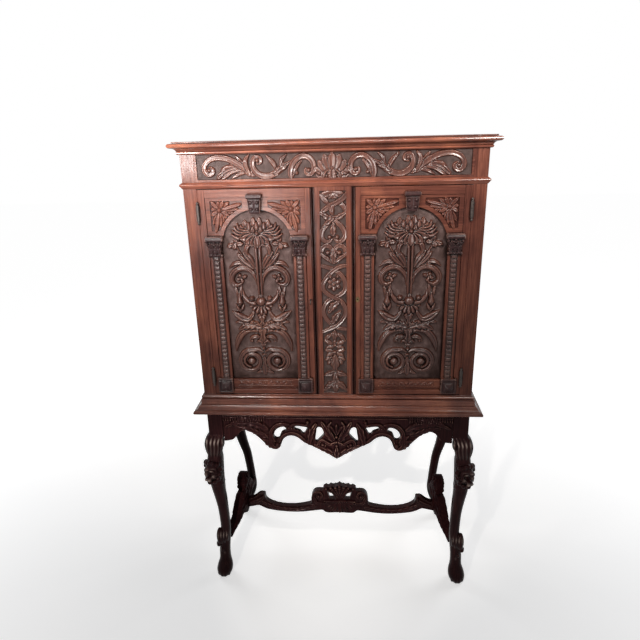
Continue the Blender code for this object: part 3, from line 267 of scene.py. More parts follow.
GAP_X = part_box("centre_stile")[1].x + 0.00125
CASE = ((0.025, 0.0076, 0.0054), (0.078, 0.0250, 0.0160), (0.156, 0.059, 0.037))
# Lighter copy of the case wood for the mouldings: painted light in place of their highlights
CASE_PAINTED_LIGHTER = ((0.038, 0.0112, 0.0074), (0.118, 0.0370, 0.0222), (0.226, 0.086, 0.051))
CARVED = ((0.022, 0.0080, 0.0060), (0.060, 0.0222, 0.0152), (0.108, 0.044, 0.030))
STAND = ((0.0068, 0.0021, 0.0027), (0.0180, 0.0050, 0.0056), (0.044, 0.0128, 0.0110))
BLACK = ((0.0110, 0.0050, 0.0052), (0.024, 0.0105, 0.0104), (0.050, 0.0230, 0.0210))
OAK = ((0.170, 0.092, 0.052), (0.262, 0.152, 0.090), (0.335, 0.206, 0.128))
BEAD_TONES = ((0.026, 0.0125, 0.0100), (0.056, 0.028, 0.0235), (0.095, 0.054, 0.046))
IRON = ((0.014, 0.0105, 0.0095), (0.040, 0.030, 0.026))
BRASS = ((0.050, 0.032, 0.016), (0.135, 0.092, 0.042))
MATS = {
    ("inner_oak", 0): wood("inner_oak_x", OAK, 0, (0.5, 0.7)),
    ("inner_oak", 2): wood("inner_oak_z", OAK, 2, (0.5, 0.7)),
    ("dark_iron", 0): metal("blackened_iron", IRON, (0.36, 0.6), 0.55),
    ("aged_brass", 0): metal("tarnished_brass", BRASS, (0.34, 0.55), 0.9),
}
for number, letter in enumerate("xyz"):
    MATS["case_walnut", number] = wood("case_walnut_" + letter, CASE, number)
    MATS["stand_walnut", number] = wood("stand_walnut_" + letter, STAND, number, gloss=0.05)
# The wear colours of the carved woods light their high edges: partly wear, partly painted highlight
CARVING = wood("carved_relief", CARVED, 2, (0.14, 0.27), True, wear_and_highlight=(0.150, 0.070, 0.049), gloss=0.32,
               grain=0.09)
CAPITAL = wood("carved_dark", BLACK, 2, (0.20, 0.36), True, wear_and_highlight=(0.140, 0.080, 0.066), gloss=0.14,
               grain=0.10)
# The stand's light wear colour and glint tone are painted highlights and glints
LION = wood("carved_stand", STAND, 2, (0.13, 0.27), True, wear_and_highlight=(0.300, 0.170, 0.130), gloss=0.07,
            tint=(1.0, 0.68, 0.68), grain=0.04, glint_tone=(0.46, 0.36, 0.32))
STRETCHER = wood("carved_stretcher", STAND, 1, (0.48, 0.62), True, wear_and_highlight=(0.120, 0.060, 0.046), gloss=0.015)
MOULDING = wood("moulding_walnut_painted_lighter", CASE_PAINTED_LIGHTER, 0, (0.11, 0.22), gloss=0.26, grain=0.07)
ARCH_BOARD = wood("arch_walnut", CASE, 0, recess=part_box("centre_stile")[0].y + 0.003)
# Painted shade along the gaps between the doors and the centre stile
MEETING = wood("meeting_walnut", CASE, 2, gap=(GAP_X, 0.011))
SPANDREL = wood("carved_case", CASE, 0, (0.16, 0.30), True, wear_and_highlight=(0.230, 0.098, 0.062), gloss=0.16)
GROUND = matted("punched_ground", ((0.030, 0.0165, 0.0140), (0.054, 0.032, 0.029), (0.084, 0.055, 0.051)))
BEAD = wood("carved_bead", BEAD_TONES, 2, (0.24, 0.4), True, wear_and_highlight=(0.220, 0.135, 0.110), gloss=0.22)
# Darker copy of the punched ground for the frieze and centre panels: painted shade
GROUND_PAINTED_DARKER = matted("punched_ground_painted_shade", ((0.019, 0.0102, 0.0086), (0.034, 0.020, 0.0178),
                                      (0.056, 0.036, 0.033)))
GROUND_OF = {"left_door_panel": GROUND, "right_door_panel": GROUND,
             "frieze_panel": GROUND_PAINTED_DARKER, "centre_panel": GROUND_PAINTED_DARKER}
METALS = ("dark_iron", "aged_brass")
METAL_EDGE, WOOD_EDGE = 0.0004, 0.0009
MEETING_NODES = ("centre_stile", "left_door_meeting_stile", "right_door_meeting_stile")


def dress_nodes():
    """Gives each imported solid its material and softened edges."""
    for name, ob in NODES.items():
        lo, hi = (np.array(p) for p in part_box(name))
        axis = int(np.argmax(hi - lo))
        slot = SLOT_OF[name]
        if name in GROUND_OF:
            mat = GROUND_OF[name]
        elif name in MEETING_NODES:
            mat = MEETING
        elif name.endswith("_arch_board"):
            mat = ARCH_BOARD
        elif name.endswith("_moulding"):
            mat = MOULDING
        elif slot == "carved_walnut":
            mat = CAPITAL
        elif slot in METALS:
            mat = MATS[slot, 0]
        elif slot == "inner_oak":
            mat = MATS[slot, 2 if name == "back_panel" else 0]
        else:
            mat = MATS[slot, axis]
        for k in range(len(ob.material_slots)):
            ob.material_slots[k].material = mat
        weld = ob.modifiers.new("weld", "WELD")
        weld.merge_threshold = 0.00001
        edge = ob.modifiers.new("edge", "BEVEL")
        edge.width = METAL_EDGE if slot in METALS else WOOD_EDGE
        edge.segments = 2
        edge.limit_method = "ANGLE"
        edge.angle_limit = math.radians(34)
        edge.harden_normals = True


dress_nodes()


# Drawing kit for the carving, in millimetres
EMPTY = -1.5
CUT = 0.35
LEAF_GROW = 1.12
LOBE_NOTCH = 0.34
LOBE_SLANT = 1.05
CHUNK = 64


def smooth(points, step=0.7):
    """Smooth line through the control points, one point to each step of its length."""
    pts = np.array(points, float)
    if len(pts) == 2:
        n = max(2, int(np.hypot(*(pts[1, :2] - pts[0, :2])) / step))
        t = np.linspace(0, 1, n + 1)[:, None]
        return pts[0] * (1 - t) + pts[1] * t
    ext = np.vstack([2 * pts[0] - pts[1], pts, 2 * pts[-1] - pts[-2]])
    out = []
    for i in range(1, len(ext) - 2):
        a, b, c, d = ext[i - 1:i + 3]
        n = max(2, int(np.hypot(*(c[:2] - b[:2])) / step))
        t = np.arange(n)[:, None] / n
        out.append(0.5 * (2 * b + (c - a) * t + (2 * a - 5 * b + 4 * c - d) * t ** 2
                          + (3 * b - a - 3 * c + d) * t ** 3))
    out.append(pts[-1:])
    return np.vstack(out)


class Relief:
    """Carved ground drawn in millimetres: u across, v up, H the height over the ground."""

    def __init__(self, u0, u1, v0, v1, pitch, mirror=False):
        self.u = np.arange(u0, u1 + pitch / 2, pitch)
        self.v = np.arange(v0, v1 + pitch / 2, pitch)
        self.H = np.full((len(self.v), len(self.u)), EMPTY)
        self.pitch = pitch
        self.mirror = mirror

    def hands(self, flip):
        """1 for the drawn side, and -1 for its mirror image where there is one."""
        mirrored = self.mirror if flip is None else flip
        return (1, -1) if mirrored else (1,)

    def window(self, low, high):
        """The part of the grid between two corners, or None where they miss it."""
        i0, i1 = np.searchsorted(self.u, (low[0], high[0]))
        j0, j1 = np.searchsorted(self.v, (low[1], high[1]))
        if i1 <= i0 or j1 <= j0:
            return None
        return slice(j0, j1), slice(i0, i1)

    def near(self, line, reach):
        """For each grid point near the line: distance, nearest point, offset to the side and along."""
        win = self.window(line[:, :2].min(0) - reach, line[:, :2].max(0) + reach)
        if win is None:
            return None
        U, V = np.meshgrid(self.u[win[1]], self.v[win[0]])
        P = np.stack([U.ravel(), V.ravel()], 1)
        best = np.full(len(P), 1e9)
        idx = np.zeros(len(P), int)
        for k in range(0, len(line), CHUNK):
            d2 = ((P[:, None, :] - line[None, k:k + CHUNK, :2]) ** 2).sum(2)
            m = d2.argmin(1)
            d = d2[np.arange(len(P)), m]
            take = d < best
            best[take] = d[take]
            idx[take] = m[take] + k
        tan = np.gradient(line[:, :2], axis=0)
        tan /= np.linalg.norm(tan, axis=1)[:, None] + 1e-9
        off = P - line[idx, :2]
        side = tan[idx, 0] * off[:, 1] - tan[idx, 1] * off[:, 0]
        along_line = (tan[idx] * off).sum(1)
        return win, *(a.reshape(U.shape) for a in (np.sqrt(best), idx, side, along_line))

    def put(self, win, f, inside, rim, cut=CUT):
        """Lays a form over what is there and cuts a groove into its surroundings."""
        H = self.H[win]
        H = np.where(rim & ~inside, np.minimum(H, H * (1 - cut)), H)
        self.H[win] = np.where(inside, np.maximum(f, EMPTY), H)

    def stroke(self, pts, style="round", cut=CUT, flip=None):
        """pts: (u, v, half width, height) control points."""
        for hand in self.hands(flip):
            line = smooth([(hand * p[0], p[1], p[2], p[3]) for p in pts])
            got = self.near(line, line[:, 2].max() * 1.5 + 1.5)
            if got is None:
                continue
            win, dist, idx, side, _ = got
            w = np.maximum(line[idx, 2], 0.3)
            h = line[idx, 3]
            r = dist / w
            x = np.clip(r, 0, 1)
            dome = np.sqrt(np.maximum(1 - x * x, 0))
            if style == "round":
                f = h * dome ** 0.85
            elif style == "cove":
                f = h * (0.58 + 0.42 * x ** 2.0) * np.clip((1 - x) / 0.30, 0, 1) ** 0.65
            elif style == "scroll":
                f = h * dome ** 0.75 * (1 - 0.32 * np.exp(-((hand * side / w - 0.38) / 0.17) ** 2))
            elif style == "vein":
                f = h * dome ** 0.8 * (1 - 0.34 * np.exp(-(r / 0.2) ** 2))
            elif style == "cup":
                f = h * (0.55 + 0.45 * x ** 1.6) * np.clip((1 - x) / 0.32, 0, 1) ** 0.7
            self.put(win, f, r < 1, r < 1 + 1.6 / np.maximum(w, 1.0), cut)

    def ball(self, u, v, r, h, flip=None):
        for hand in self.hands(flip) if u else (1,):
            centre_at = np.array([hand * u, v])
            win = self.window(centre_at - r * 1.6 - 1, centre_at + r * 1.6 + 1)
            if win is None:
                continue
            U, V = np.meshgrid(self.u[win[1]], self.v[win[0]])
            d = np.hypot(U - hand * u, V - v) / r
            self.put(win, h * np.sqrt(np.maximum(1 - d * d, 0)), d < 1, d < 1 + 1.5 / r)

    def spiral(self, lead, c, r0, r1, a0, turns, w0, w1, h0, h1, style="cove", eye=0):
        """Lead-in points, then a spiral round c from angle a0 (degrees), positive turns anticlockwise."""
        n = max(6, int(abs(turns) * 10))
        pts = list(lead)
        for k in range(n + 1):
            t = k / n
            a = math.radians(a0 + 360 * turns * t)
            r = r0 + (r1 - r0) * t ** 0.85
            pts.append((c[0] + r * math.cos(a), c[1] + r * math.sin(a), w0 + (w1 - w0) * t,
                        h0 + (h1 - h0) * t))
        self.stroke(pts, style)
        if eye:
            self.ball(c[0], c[1], eye, h1 + 1.2)

    def leaf(self, pts, n=3, flip=None):
        """Acanthus leaf: one broad blade with about n rounded lobes, a flute to each."""
        for hand in self.hands(flip):
            line = smooth([(hand * p[0], p[1], p[2] * LEAF_GROW, p[3]) for p in pts])
            got = self.near(line, line[:, 2].max() * 1.3 + 1.5)
            if got is None:
                continue
            win, dist, idx, _, along_line = got
            run = np.r_[0, np.cumsum(np.linalg.norm(np.diff(line[:, :2], axis=0), axis=1))]
            t = (run[idx] + np.where((idx == 0) | (idx == len(line) - 1), along_line, 0)) / run[-1]
            w = np.maximum(line[idx, 2], 0.8)
            h = line[idx, 3]
            q = np.clip(dist / w, 0, 1.4)
            ph = t * (n + 0.5) - LOBE_SLANT * q ** 0.9
            lobe = np.sin(np.pi * (ph - np.floor(ph))) ** 0.55
            edge = 1 - LOBE_NOTCH * (1 - lobe)
            r = q / np.maximum(edge, 0.2)
            x = np.clip(r, 0, 1)
            crest = 0.50 + 0.50 * np.sin(np.pi * np.clip(x * 0.62 + 0.10, 0, 1))
            flute = 1 - 0.40 * np.clip(q * 1.6, 0, 1) * (1 - lobe ** 1.4)
            mid = 1 - 0.30 * np.exp(-(q / 0.10) ** 2)
            f = h * crest * flute * mid * np.clip((1 - x) / 0.30, 0, 1) ** 0.55
            self.put(win, f, r < 1, dist < w * edge + 1.6)


def ray(u, v, a, d):
    return u + d * math.cos(math.radians(a)), v + d * math.sin(math.radians(a))


def petal(r, u, v, a, d0, d1, w, h, style="round", cut=0.35, flip=None):
    p = [ray(u, v, a, d0), ray(u, v, a, d0 + 0.55 * (d1 - d0)), ray(u, v, a, d0 + 0.85 * (d1 - d0)),
         ray(u, v, a, d1)]
    r.stroke([(*p[0], w * 0.5, h * 0.7), (*p[1], w, h * 0.95), (*p[2], w * 0.9, h),
              (*p[3], w * 0.4, h * 0.8)], style, cut, flip)


def door_panel(pitch):
    r = Relief(-117.6, 117.6, -46.4, 554, pitch, mirror=True)
    stroke, leaf, ball = r.stroke, r.leaf, r.ball
    # tail between and under the volutes
    leaf([(6, 2, 5, 7), (14, -16, 8, 8), (30, -26, 3, 6)], 2)
    leaf([(0, 34, 6, 8), (0, 6, 9, 10), (0, -16, 12, 9), (0, -32, 3, 6)], 2, flip=False)
    # lower volutes with their buds
    r.spiral([(4, 58, 4, 8), (20, 66, 7, 11)], (46, 22), 43, 22, 104, -1.5, 10.5, 5.2, 12.5, 13, "scroll")
    ball(46, 22, 15, 16.5)
    stroke([(6, 46, 3, 8), (0, 48, 4, 10)], "round")
    # arcs springing over the volutes, with a sprig inside
    stroke([(10, 110, 5, 8), (24, 116, 8, 11), (40, 109, 7.5, 11), (46, 96, 3, 8)], "vein")
    ball(40, 98, 5, 10)
    stroke([(12, 130, 6, 8), (34, 141, 10.5, 12), (59, 135, 12, 13.5), (80, 115, 12, 13.5),
            (93, 88, 9.5, 12), (99, 60, 3, 7)], "scroll")
    # husk in the middle
    leaf([(0, 166, 8, 10), (0, 143, 17, 13), (0, 118, 11, 12.5), (0, 95, 15, 12), (0, 76, 3, 8)], 3,
         flip=False)
    stroke([(4, 90, 4, 8), (14, 99, 5.5, 11), (23, 93, 3, 9)], "round")
    ball(0, 69, 6.5, 13)
    # spread leaves over the arcs
    leaf([(8, 150, 9, 9), (30, 158, 16, 12), (56, 156, 16, 13), (82, 140, 4, 8)], 3)
    ball(24, 166, 5, 11)
    # stems running out into horns
    leaf([(50, 168, 6, 8), (72, 171, 9, 10), (92, 166, 3, 7)], 2)
    stroke([(25, 212, 4, 9), (33, 194, 7, 11), (47, 179, 10, 13), (67, 182, 14, 14), (86, 196, 11.5, 14),
            (101, 207, 3, 9)], "vein")
    # leaf and fringe under the ball
    leaf([(0, 208, 9, 9), (0, 190, 16, 11.5), (0, 166, 3, 8)], 3, flip=False)
    for a, l in ((-20, 40), (-43, 42), (-67, 44), (-90, 45)):
        petal(r, 0, 240, a, 12, l, 7.5, 13, flip=(a != -90))
    # crescent with beads and the ball
    stroke([(61, 283, 3, 7), (57, 262, 7, 11), (43, 245, 10, 13), (23, 236, 9, 13), (8, 238, 5, 11)],
           "round")
    ball(31, 254, 9.5, 16)
    ball(0, 242, 17, 18)
    # husk drops
    for u0, u1 in ((64, 70), (85, 76)):
        stroke([(u0, 302, 3.5, 7), (u0 * 0.6 + u1 * 0.4, 282, 6, 10), (u1, 260, 6, 11.5), (73, 248, 3, 9)],
               "vein")
    stroke([(73, 272, 3, 9), (73, 252, 8, 13.5), (73, 239, 11.5, 16), (73, 228, 5, 11)], "round")
    for u0 in (61, 85):
        stroke([(u0, 232, 3, 8), (u0 * 0.6 + 73 * 0.4, 219, 6.5, 12), (73, 206, 3, 9)], "round")
    # acanthus over the scrolls
    stroke([(30, 360, 5, 7), (58, 377, 9, 10), (82, 375, 7, 9.5), (100, 361, 2, 6)], "vein")
    stroke([(20, 360, 6, 8), (42, 380, 11, 12), (59, 399, 9.5, 13), (67, 408, 4, 10)], "vein")
    stroke([(12, 360, 6, 8), (24, 384, 11, 12.5), (38, 404, 9.5, 13.5), (48, 413, 4, 10)], "vein")
    # C scrolls with a bud in the curl
    stroke([(3, 262, 4.5, 9), (5, 296, 6, 10), (13, 328, 7.5, 12), (31, 351, 8.5, 13), (54, 360, 10.5, 14),
            (79, 351, 10.5, 14),
       (94, 331, 10, 14), (92, 310, 9, 13.5), (77, 301, 7.5, 12.5), (60, 308, 4, 10)], "scroll")
    for a, l in ((150, 20), (70, 17), (-10, 15), (-110, 14)):
        petal(r, 62, 323, a, 0, l, 7, 10.5)
    # stem with drooping tongues at its head
    stroke([(5, 268, 4, 9), (5.5, 330, 5, 10), (6, 380, 6, 11), (6, 436, 5.5, 11)], "round")
    stroke([(7, 434, 4, 9), (20, 441, 7, 11.5), (33, 436, 9, 13), (39, 421, 8.5, 13), (37, 404, 3.5, 10)],
           "vein")
    # pointed leaves on thin stalks
    stroke([(55, 406, 2.5, 6), (63, 419, 3, 7.5), (72, 434, 3.5, 8.5)], "round")
    for a, l in ((98, 25), (176, 24), (-18, 27), (-72, 17)):
        petal(r, 74, 441, a, 0, l, 9.5, 10.5, "vein")
    # great flower: three rows of crown lobes
    for u, v in ((10, 522), (38, 515)):
        stroke([(u * 0.6, 482, 8, 9), (u * 0.95, 506, 11, 11.5), (u, v, 6, 11)], "cup")
    for u, v in ((0, 508), (25, 508), (51, 501)):
        stroke([(u * 0.6, 474, 7, 9), (u * 0.95, 494, 10, 12.5), (u, v, 5, 12)], "round", flip=bool(u))
    for u, v in ((13, 494), (37, 491)):
        stroke([(u * 0.6, 470, 7, 10), (u * 0.95, 483, 9, 14), (u, v, 4.5, 13)], "vein")
    # wings curling up at their ends, then the shell in front
    for a, b, c, d in (((28, 484), (46, 486), (59, 492), (63, 508)),
                       ((22, 478), (45, 477), (62, 482), (73, 498)),
                       ((19, 471), (43, 469), (63, 472), (79, 487)),
                       ((19, 464), (42, 461), (66, 462), (83, 473))):
        stroke([(*a, 5, 9), (*b, 7, 12), (*c, 7.5, 14.5), (*d, 3, 11)], "round")
    for a, l in ((-18, 54), (-40, 47), (-64, 42), (-90, 41)):
        petal(r, 0, 474, a, 4, l, 12.5, 15, "cup", flip=(a != -90))
    ball(0, 476, 8, 15.5)
    return r


def rail_strip(pitch):
    """Low running pattern on the door's bottom rail."""
    r = Relief(-100, 100, -11, 11, pitch, mirror=True)
    r.stroke([(-99, 9.5, 1.0, 1.2), (99, 9.5, 1.0, 1.2)], "round", flip=False)
    r.stroke([(-99, -9.5, 1.3, 1.6), (99, -9.5, 1.3, 1.6)], "round", flip=False)
    r.ball(0, 0, 5, 2.4)
    for k in range(4):
        u = 12 + 22 * k
        r.leaf([(u - 4, -4, 2.5, 1.2), (u + 5, 1, 4.5, 2.0), (u + 13, 5, 1.5, 1.4)], 2)
        r.ball(u + 13, -2.5, 3.0, 2.2)
    return r


def frieze(pitch):
    r = Relief(-428, 428, 48, 128, pitch, mirror=True)
    leaf, ball = r.leaf, r.ball

    def stroke(pts, style):
        r.stroke([(u, v, w * 1.22, h) for u, v, w, h in pts], style)
    # leaf lying under the outer scroll
    leaf([(246, 60, 6, 5), (276, 74, 11, 7), (304, 84, 15, 8.5), (334, 78, 14, 9), (362, 55, 6, 7)], 4)
    stroke([(292, 76, 3, 6), (318, 70, 5, 8), (338, 58, 5.5, 9), (350, 51, 2.5, 7)], "vein")
    stroke([(276, 68, 3, 5), (298, 63, 5, 7.5), (316, 53, 2.5, 6)], "vein")
    # small leaves in the upper gap
    stroke([(278, 90, 3, 5), (288, 104, 6, 7.5), (300, 119, 3, 6)], "vein")
    # outer scroll with a comma end
    stroke([(250, 60, 4, 6), (279, 83, 7, 8), (302, 99, 8.5, 8.5), (330, 112, 8.5, 9), (362, 116, 8, 9),
            (387, 109, 7.5, 9),
       (402, 94, 7, 9), (404, 77, 7, 9), (393, 65, 7, 9.5), (380, 68, 6.5, 9.5), (377, 79, 6, 9.5),
            (385, 85, 5, 9)], "cove")
    ball(389, 78, 7.5, 10.5)
    # middle scroll
    stroke([(258, 62, 3, 5), (270, 88, 6.5, 8), (271, 107, 6.5, 9), (261, 122, 3, 7)], "vein")
    stroke([(136, 90, 3, 5), (172, 69, 8, 8), (198, 58, 8.5, 9), (222, 59, 8.5, 9), (241, 72, 8, 9.5),
            (250, 90, 7.5, 9.5),
       (247, 107, 7, 9.5), (237, 115, 7, 9.5), (226, 111, 6.5, 9.5), (224, 101, 6, 9.5), (233, 97, 5, 9)],
           "cove")
    ball(234, 105, 7.5, 10.5)
    # upright leaf and sheath
    stroke([(174, 74, 3.5, 6), (184, 96, 7, 9), (205, 119, 3, 6)], "vein")
    leaf([(178, 66, 6, 6), (156, 84, 12, 8.5), (130, 100, 3, 6)], 2)
    stroke([(162, 90, 4, 6), (156, 108, 6, 8), (142, 121, 2.5, 6)], "vein")
    # inner scroll
    stroke([(126, 54, 4, 6), (118, 72, 6, 8), (110, 86, 6, 8), (96, 101, 3, 6)], "vein")
    ball(111, 65, 6.5, 9)
    stroke([(130, 50, 5, 7), (132, 68, 7.5, 9), (125, 90, 8, 9), (112, 106, 8, 9), (94, 115, 8, 9),
            (74, 112, 8, 9),
       (61, 99, 7.5, 9), (57, 83, 7.5, 9), (61, 67, 7, 9), (71, 60, 6.5, 9.5), (81, 65, 6, 9.5),
            (83, 75, 5, 9.5)], "cove")
    ball(73, 73, 7.5, 10.5)
    # scallop shell
    petal(r, 0, 50, 8, 20, 50, 9, 7.5, "cup")
    for a in (28, 49, 70, 90):
        petal(r, 0, 50, a, 18, 56 + 16 * math.sin(math.radians(a)) ** 3, 14, 8.5, "cup", flip=(a != 90))
    ball(41, 62, 7, 9)
    stroke([(26, 51, 3, 8), (20, 66, 4, 8.5), (0, 74, 4.5, 8.5)], "round")
    leaf([(0, 50, 14, 8), (0, 62, 16, 8.5), (0, 73, 8, 8)], 2, flip=False)
    return r


def centre(pitch):
    r = Relief(-43, 43, -106, 608, pitch, mirror=True)
    leaf, ball = r.leaf, r.ball

    def stroke(pts, style, flip=None):
        r.stroke([(u, v, w * 1.2, h) for u, v, w, h in pts], style, flip=flip)
    # half rosette at the top
    for a in (-90, -62, -36, -14):
        petal(r, 0, 607, a, 3, 22 + 16 * math.cos(math.radians(a)) ** 2, 8, 7)
    # ogee band, the left limb passing up to the right corner
    stroke([(-42, 598, 4, 4), (-26, 580, 7, 6), (-10, 564, 3, 5)], "vein", flip=False)
    stroke([(4, 566, 4, 7), (22, 570, 7, 8), (36, 556, 7, 8), (43, 537, 4, 6)], "cove", flip=False)
    stroke([(48, 608, 4, 7), (37, 588, 7.5, 9), (16, 573, 7.5, 9), (-9, 561, 7.5, 9), (-29, 547, 7.5, 9),
            (-43, 533, 4, 6)], "cove", flip=False)
    stroke([(0, 560, 4, 6), (-4, 546, 8, 9), (0, 530, 3, 6)], "vein", flip=False)
    leaf([(0, 520, 6, 6), (20, 526, 10, 8), (42, 541, 4, 6)], 2)
    # heart with curled ends
    stroke([(0, 522, 5, 7), (18, 504, 7, 8.5), (34, 484, 7.5, 8.5), (38, 463, 7, 8.5), (28, 449, 6.5, 8.5),
            (14, 447, 6, 8.5), (6, 455, 4.5, 8)], "cove")
    leaf([(0, 522, 6, 7), (-15, 510, 9, 9), (-33, 496, 3, 6)], 2, flip=False)
    ball(12, 461, 7.5, 10)
    leaf([(0, 468, 6, 6), (0, 486, 11, 8.5), (0, 508, 3, 6)], 2, flip=False)
    # inverted heart
    stroke([(38, 396, 4, 6), (39, 417, 7, 8.5), (29, 431, 7, 8.5), (14, 431, 7, 8.5), (6, 421, 5.5, 8),
            (10, 411, 4, 7.5)], "cove")
    stroke([(40, 404, 5, 6), (23, 392, 7, 8.5), (3, 377, 5, 7)], "vein")
    ball(19, 410, 8, 9.5)
    leaf([(0, 376, 6, 6), (0, 398, 12, 8.5), (0, 424, 3, 6)], 2, flip=False)
    # two ovals of crossing bands
    stroke([(-48, 367, 5, 6), (-17, 359, 6.5, 7), (6, 348, 6.5, 7), (27, 331, 7, 7.5), (38, 305, 7, 7.5),
            (35, 280, 7, 7.5), (18, 264, 6.5, 7),
       (-6, 252, 6.5, 7), (-25, 240, 7, 7.5), (-37, 214, 7, 7.5), (-33, 188, 7, 7.5), (-12, 162, 6.5, 7),
            (12, 148, 6.5, 7), (48, 140, 5, 6)], "cove", flip=False)
    stroke([(48, 367, 5, 6), (20, 362, 6.5, 8.5), (0, 350, 6.5, 8.5), (-20, 331, 7, 8.5),
            (-36, 305, 7, 8.5), (-35, 283, 7, 8.5), (-17, 265, 6.5, 8.5),
       (4, 254, 6.5, 9), (26, 240, 7, 8.5), (38, 214, 7, 8.5), (34, 188, 7, 8.5), (12, 160, 6.5, 8.5),
            (-10, 147, 6.5, 8.5), (-46, 131, 5, 6)], "cove", flip=False)
    for a in (90, 210, 330, 30, 150, 270):
        petal(r, 0, 302, a, 3, 23, 8, 7.5, flip=False)
    ball(0, 302, 7, 9.5)
    ball(12, 329, 6, 8.5)
    leaf([(14, 240, 6, 6), (-4, 226, 14, 9), (-20, 202, 4, 6)], 3, flip=False)
    leaf([(-8, 164, 6, 6), (4, 186, 12, 8.5), (20, 208, 4, 6)], 3, flip=False)
    # bud, rosettes and husk below
    stroke([(8, 126, 3, 5), (24, 114, 7, 7.5), (36, 98, 3, 5)], "vein")
    leaf([(0, 136, 5, 6), (0, 120, 11, 8.5), (0, 102, 4, 6)], 2, flip=False)
    for a in (28, -24):
        petal(r, 0, 82, a, 4, 35, 10, 8)
    petal(r, 0, 82, 90, 3, 20, 7, 7, flip=False)
    ball(0, 84, 7, 9.5)
    for a in (12, -30):
        petal(r, 0, 58, a, 4, 33, 9, 7.5)
    ball(0, 58, 6.5, 9)
    for a in (-12, -42):
        petal(r, 0, 36, a, 2, 34, 10, 8.5)
    leaf([(0, 44, 7, 7), (0, 20, 17, 9), (0, -2, 12, 8.5), (0, -20, 3, 6)], 2, flip=False)
    leaf([(0, -18, 6, 6), (18, -25, 11, 8.5), (38, -31, 4, 6)], 2)
    leaf([(0, -26, 6, 6), (0, -44, 12, 8.5), (0, -62, 3, 6)], 2, flip=False)
    leaf([(0, -56, 6, 6), (20, -69, 12, 8), (41, -90, 4, 6)], 3)
    leaf([(0, -62, 6, 6), (0, -80, 13, 8.5), (0, -98, 4, 6)], 2, flip=False)
    stroke([(0, -101, 2.6, 5), (42, -101, 2.6, 5)], "round")
    return r


def spandrel(pitch):
    r = Relief(-147, 147, 476, 584, pitch, mirror=True)
    # leaves all round a boss, each as long as the corner field leaves room for
    for a, reach in ((230, 33), (252, 40), (191, 44), (209, 34), (298, 50), (142, 40), (8, 27), (85, 27),
                     (-31, 31), (116, 31),
                     (47, 36), (177, 60), (268, 53), (165, 75), (283, 74)):
        petal(r, 117, 553, a, 5, reach, 7.4, 6.4 + reach / 40, "vein", 0.5)
    r.ball(117, 553, 8, 9)
    return r


def points_of(mesh):
    co = np.empty(len(mesh.vertices) * 3, np.float32)
    mesh.vertices.foreach_get("co", co)
    return co.reshape(-1, 3).astype(float)


# Carving laid on the grounds: each relief becomes one closed mesh
def box_blur(a):
    p = np.pad(a, 1, mode="edge")
    return (p[1:-1, 1:-1] * 4 + (p[:-2, 1:-1] + p[2:, 1:-1] + p[1:-1, :-2] + p[1:-1, 2:]) * 2
            + p[:-2, :-2] + p[:-2, 2:] + p[2:, :-2] + p[2:, 2:]) / 16


def spread(keep):
    """The marked points with their eight neighbours."""
    p = np.pad(keep, 1)
    out = keep.copy()
    for dj in range(3):
        for di in range(3):
            out |= p[dj:dj + keep.shape[0], di:di + keep.shape[1]]
    return out


def cells_within(keep):
    """Cells with all four corners marked, filled in so that no two meet at a corner only."""
    cell = keep[:-1, :-1] & keep[1:, :-1] & keep[:-1, 1:] & keep[1:, 1:]
    for _ in range(6):
        c = np.pad(cell, 1)
        sw, se, nw, ne = c[:-1, :-1], c[:-1, 1:], c[1:, :-1], c[1:, 1:]
        lone = (sw & ne & ~se & ~nw) | (se & nw & ~sw & ~ne)
        if not lone.any():
            break
        c[:-1, :-1] |= lone
        cell = c[1:-1, 1:-1]
    return cell


def height_mesh(name, u, v, H, cell, place, y0, back):
    """One closed mesh: front at y0 - H, back at y0 + back (millimetres), walls round the rim."""
    jj, ii = np.nonzero(cell)
    used = np.zeros(H.shape, bool)
    for dj in (0, 1):
        for di in (0, 1):
            used[jj + dj, ii + di] = True
    index = np.full(H.shape, -1)
    index[used] = np.arange(used.sum())
    vj, vi = np.nonzero(used)
    n = len(vj)
    x, z = place(u[vi], v[vj])
    top = np.stack([x, y0 - H[vj, vi] / 1000, z], 1)
    low = np.stack([x, y0 + back[vj, vi] / 1000, z], 1)
    a, b = index[jj, ii], index[jj, ii + 1]
    c, d = index[jj + 1, ii + 1], index[jj + 1, ii]
    quads = [np.stack([a, b, c, d], 1), np.stack([d, c, b, a], 1) + n]
    pad = np.pad(cell, 1)
    for dj, di, p, q in ((-1, 0, a, b), (0, 1, b, c), (1, 0, c, d), (0, -1, d, a)):
        rim = ~pad[jj + 1 + dj, ii + 1 + di]
        quads.append(np.stack([q[rim], p[rim], p[rim] + n, q[rim] + n], 1))
    quads = np.vstack(quads)
    x, z = place(np.array([0.0, 1.0, 0.0]), np.array([0.0, 0.0, 1.0]))
    mirrored = (x[1] - x[0]) * (z[2] - z[0]) < (z[1] - z[0]) * (x[2] - x[0])
    if mirrored:
        quads = quads[:, ::-1]
    mesh = bpy.data.meshes.new(name)
    mesh.from_pydata(np.vstack([top, low]).tolist(), [], quads.tolist())
    mesh.validate()
    return mesh


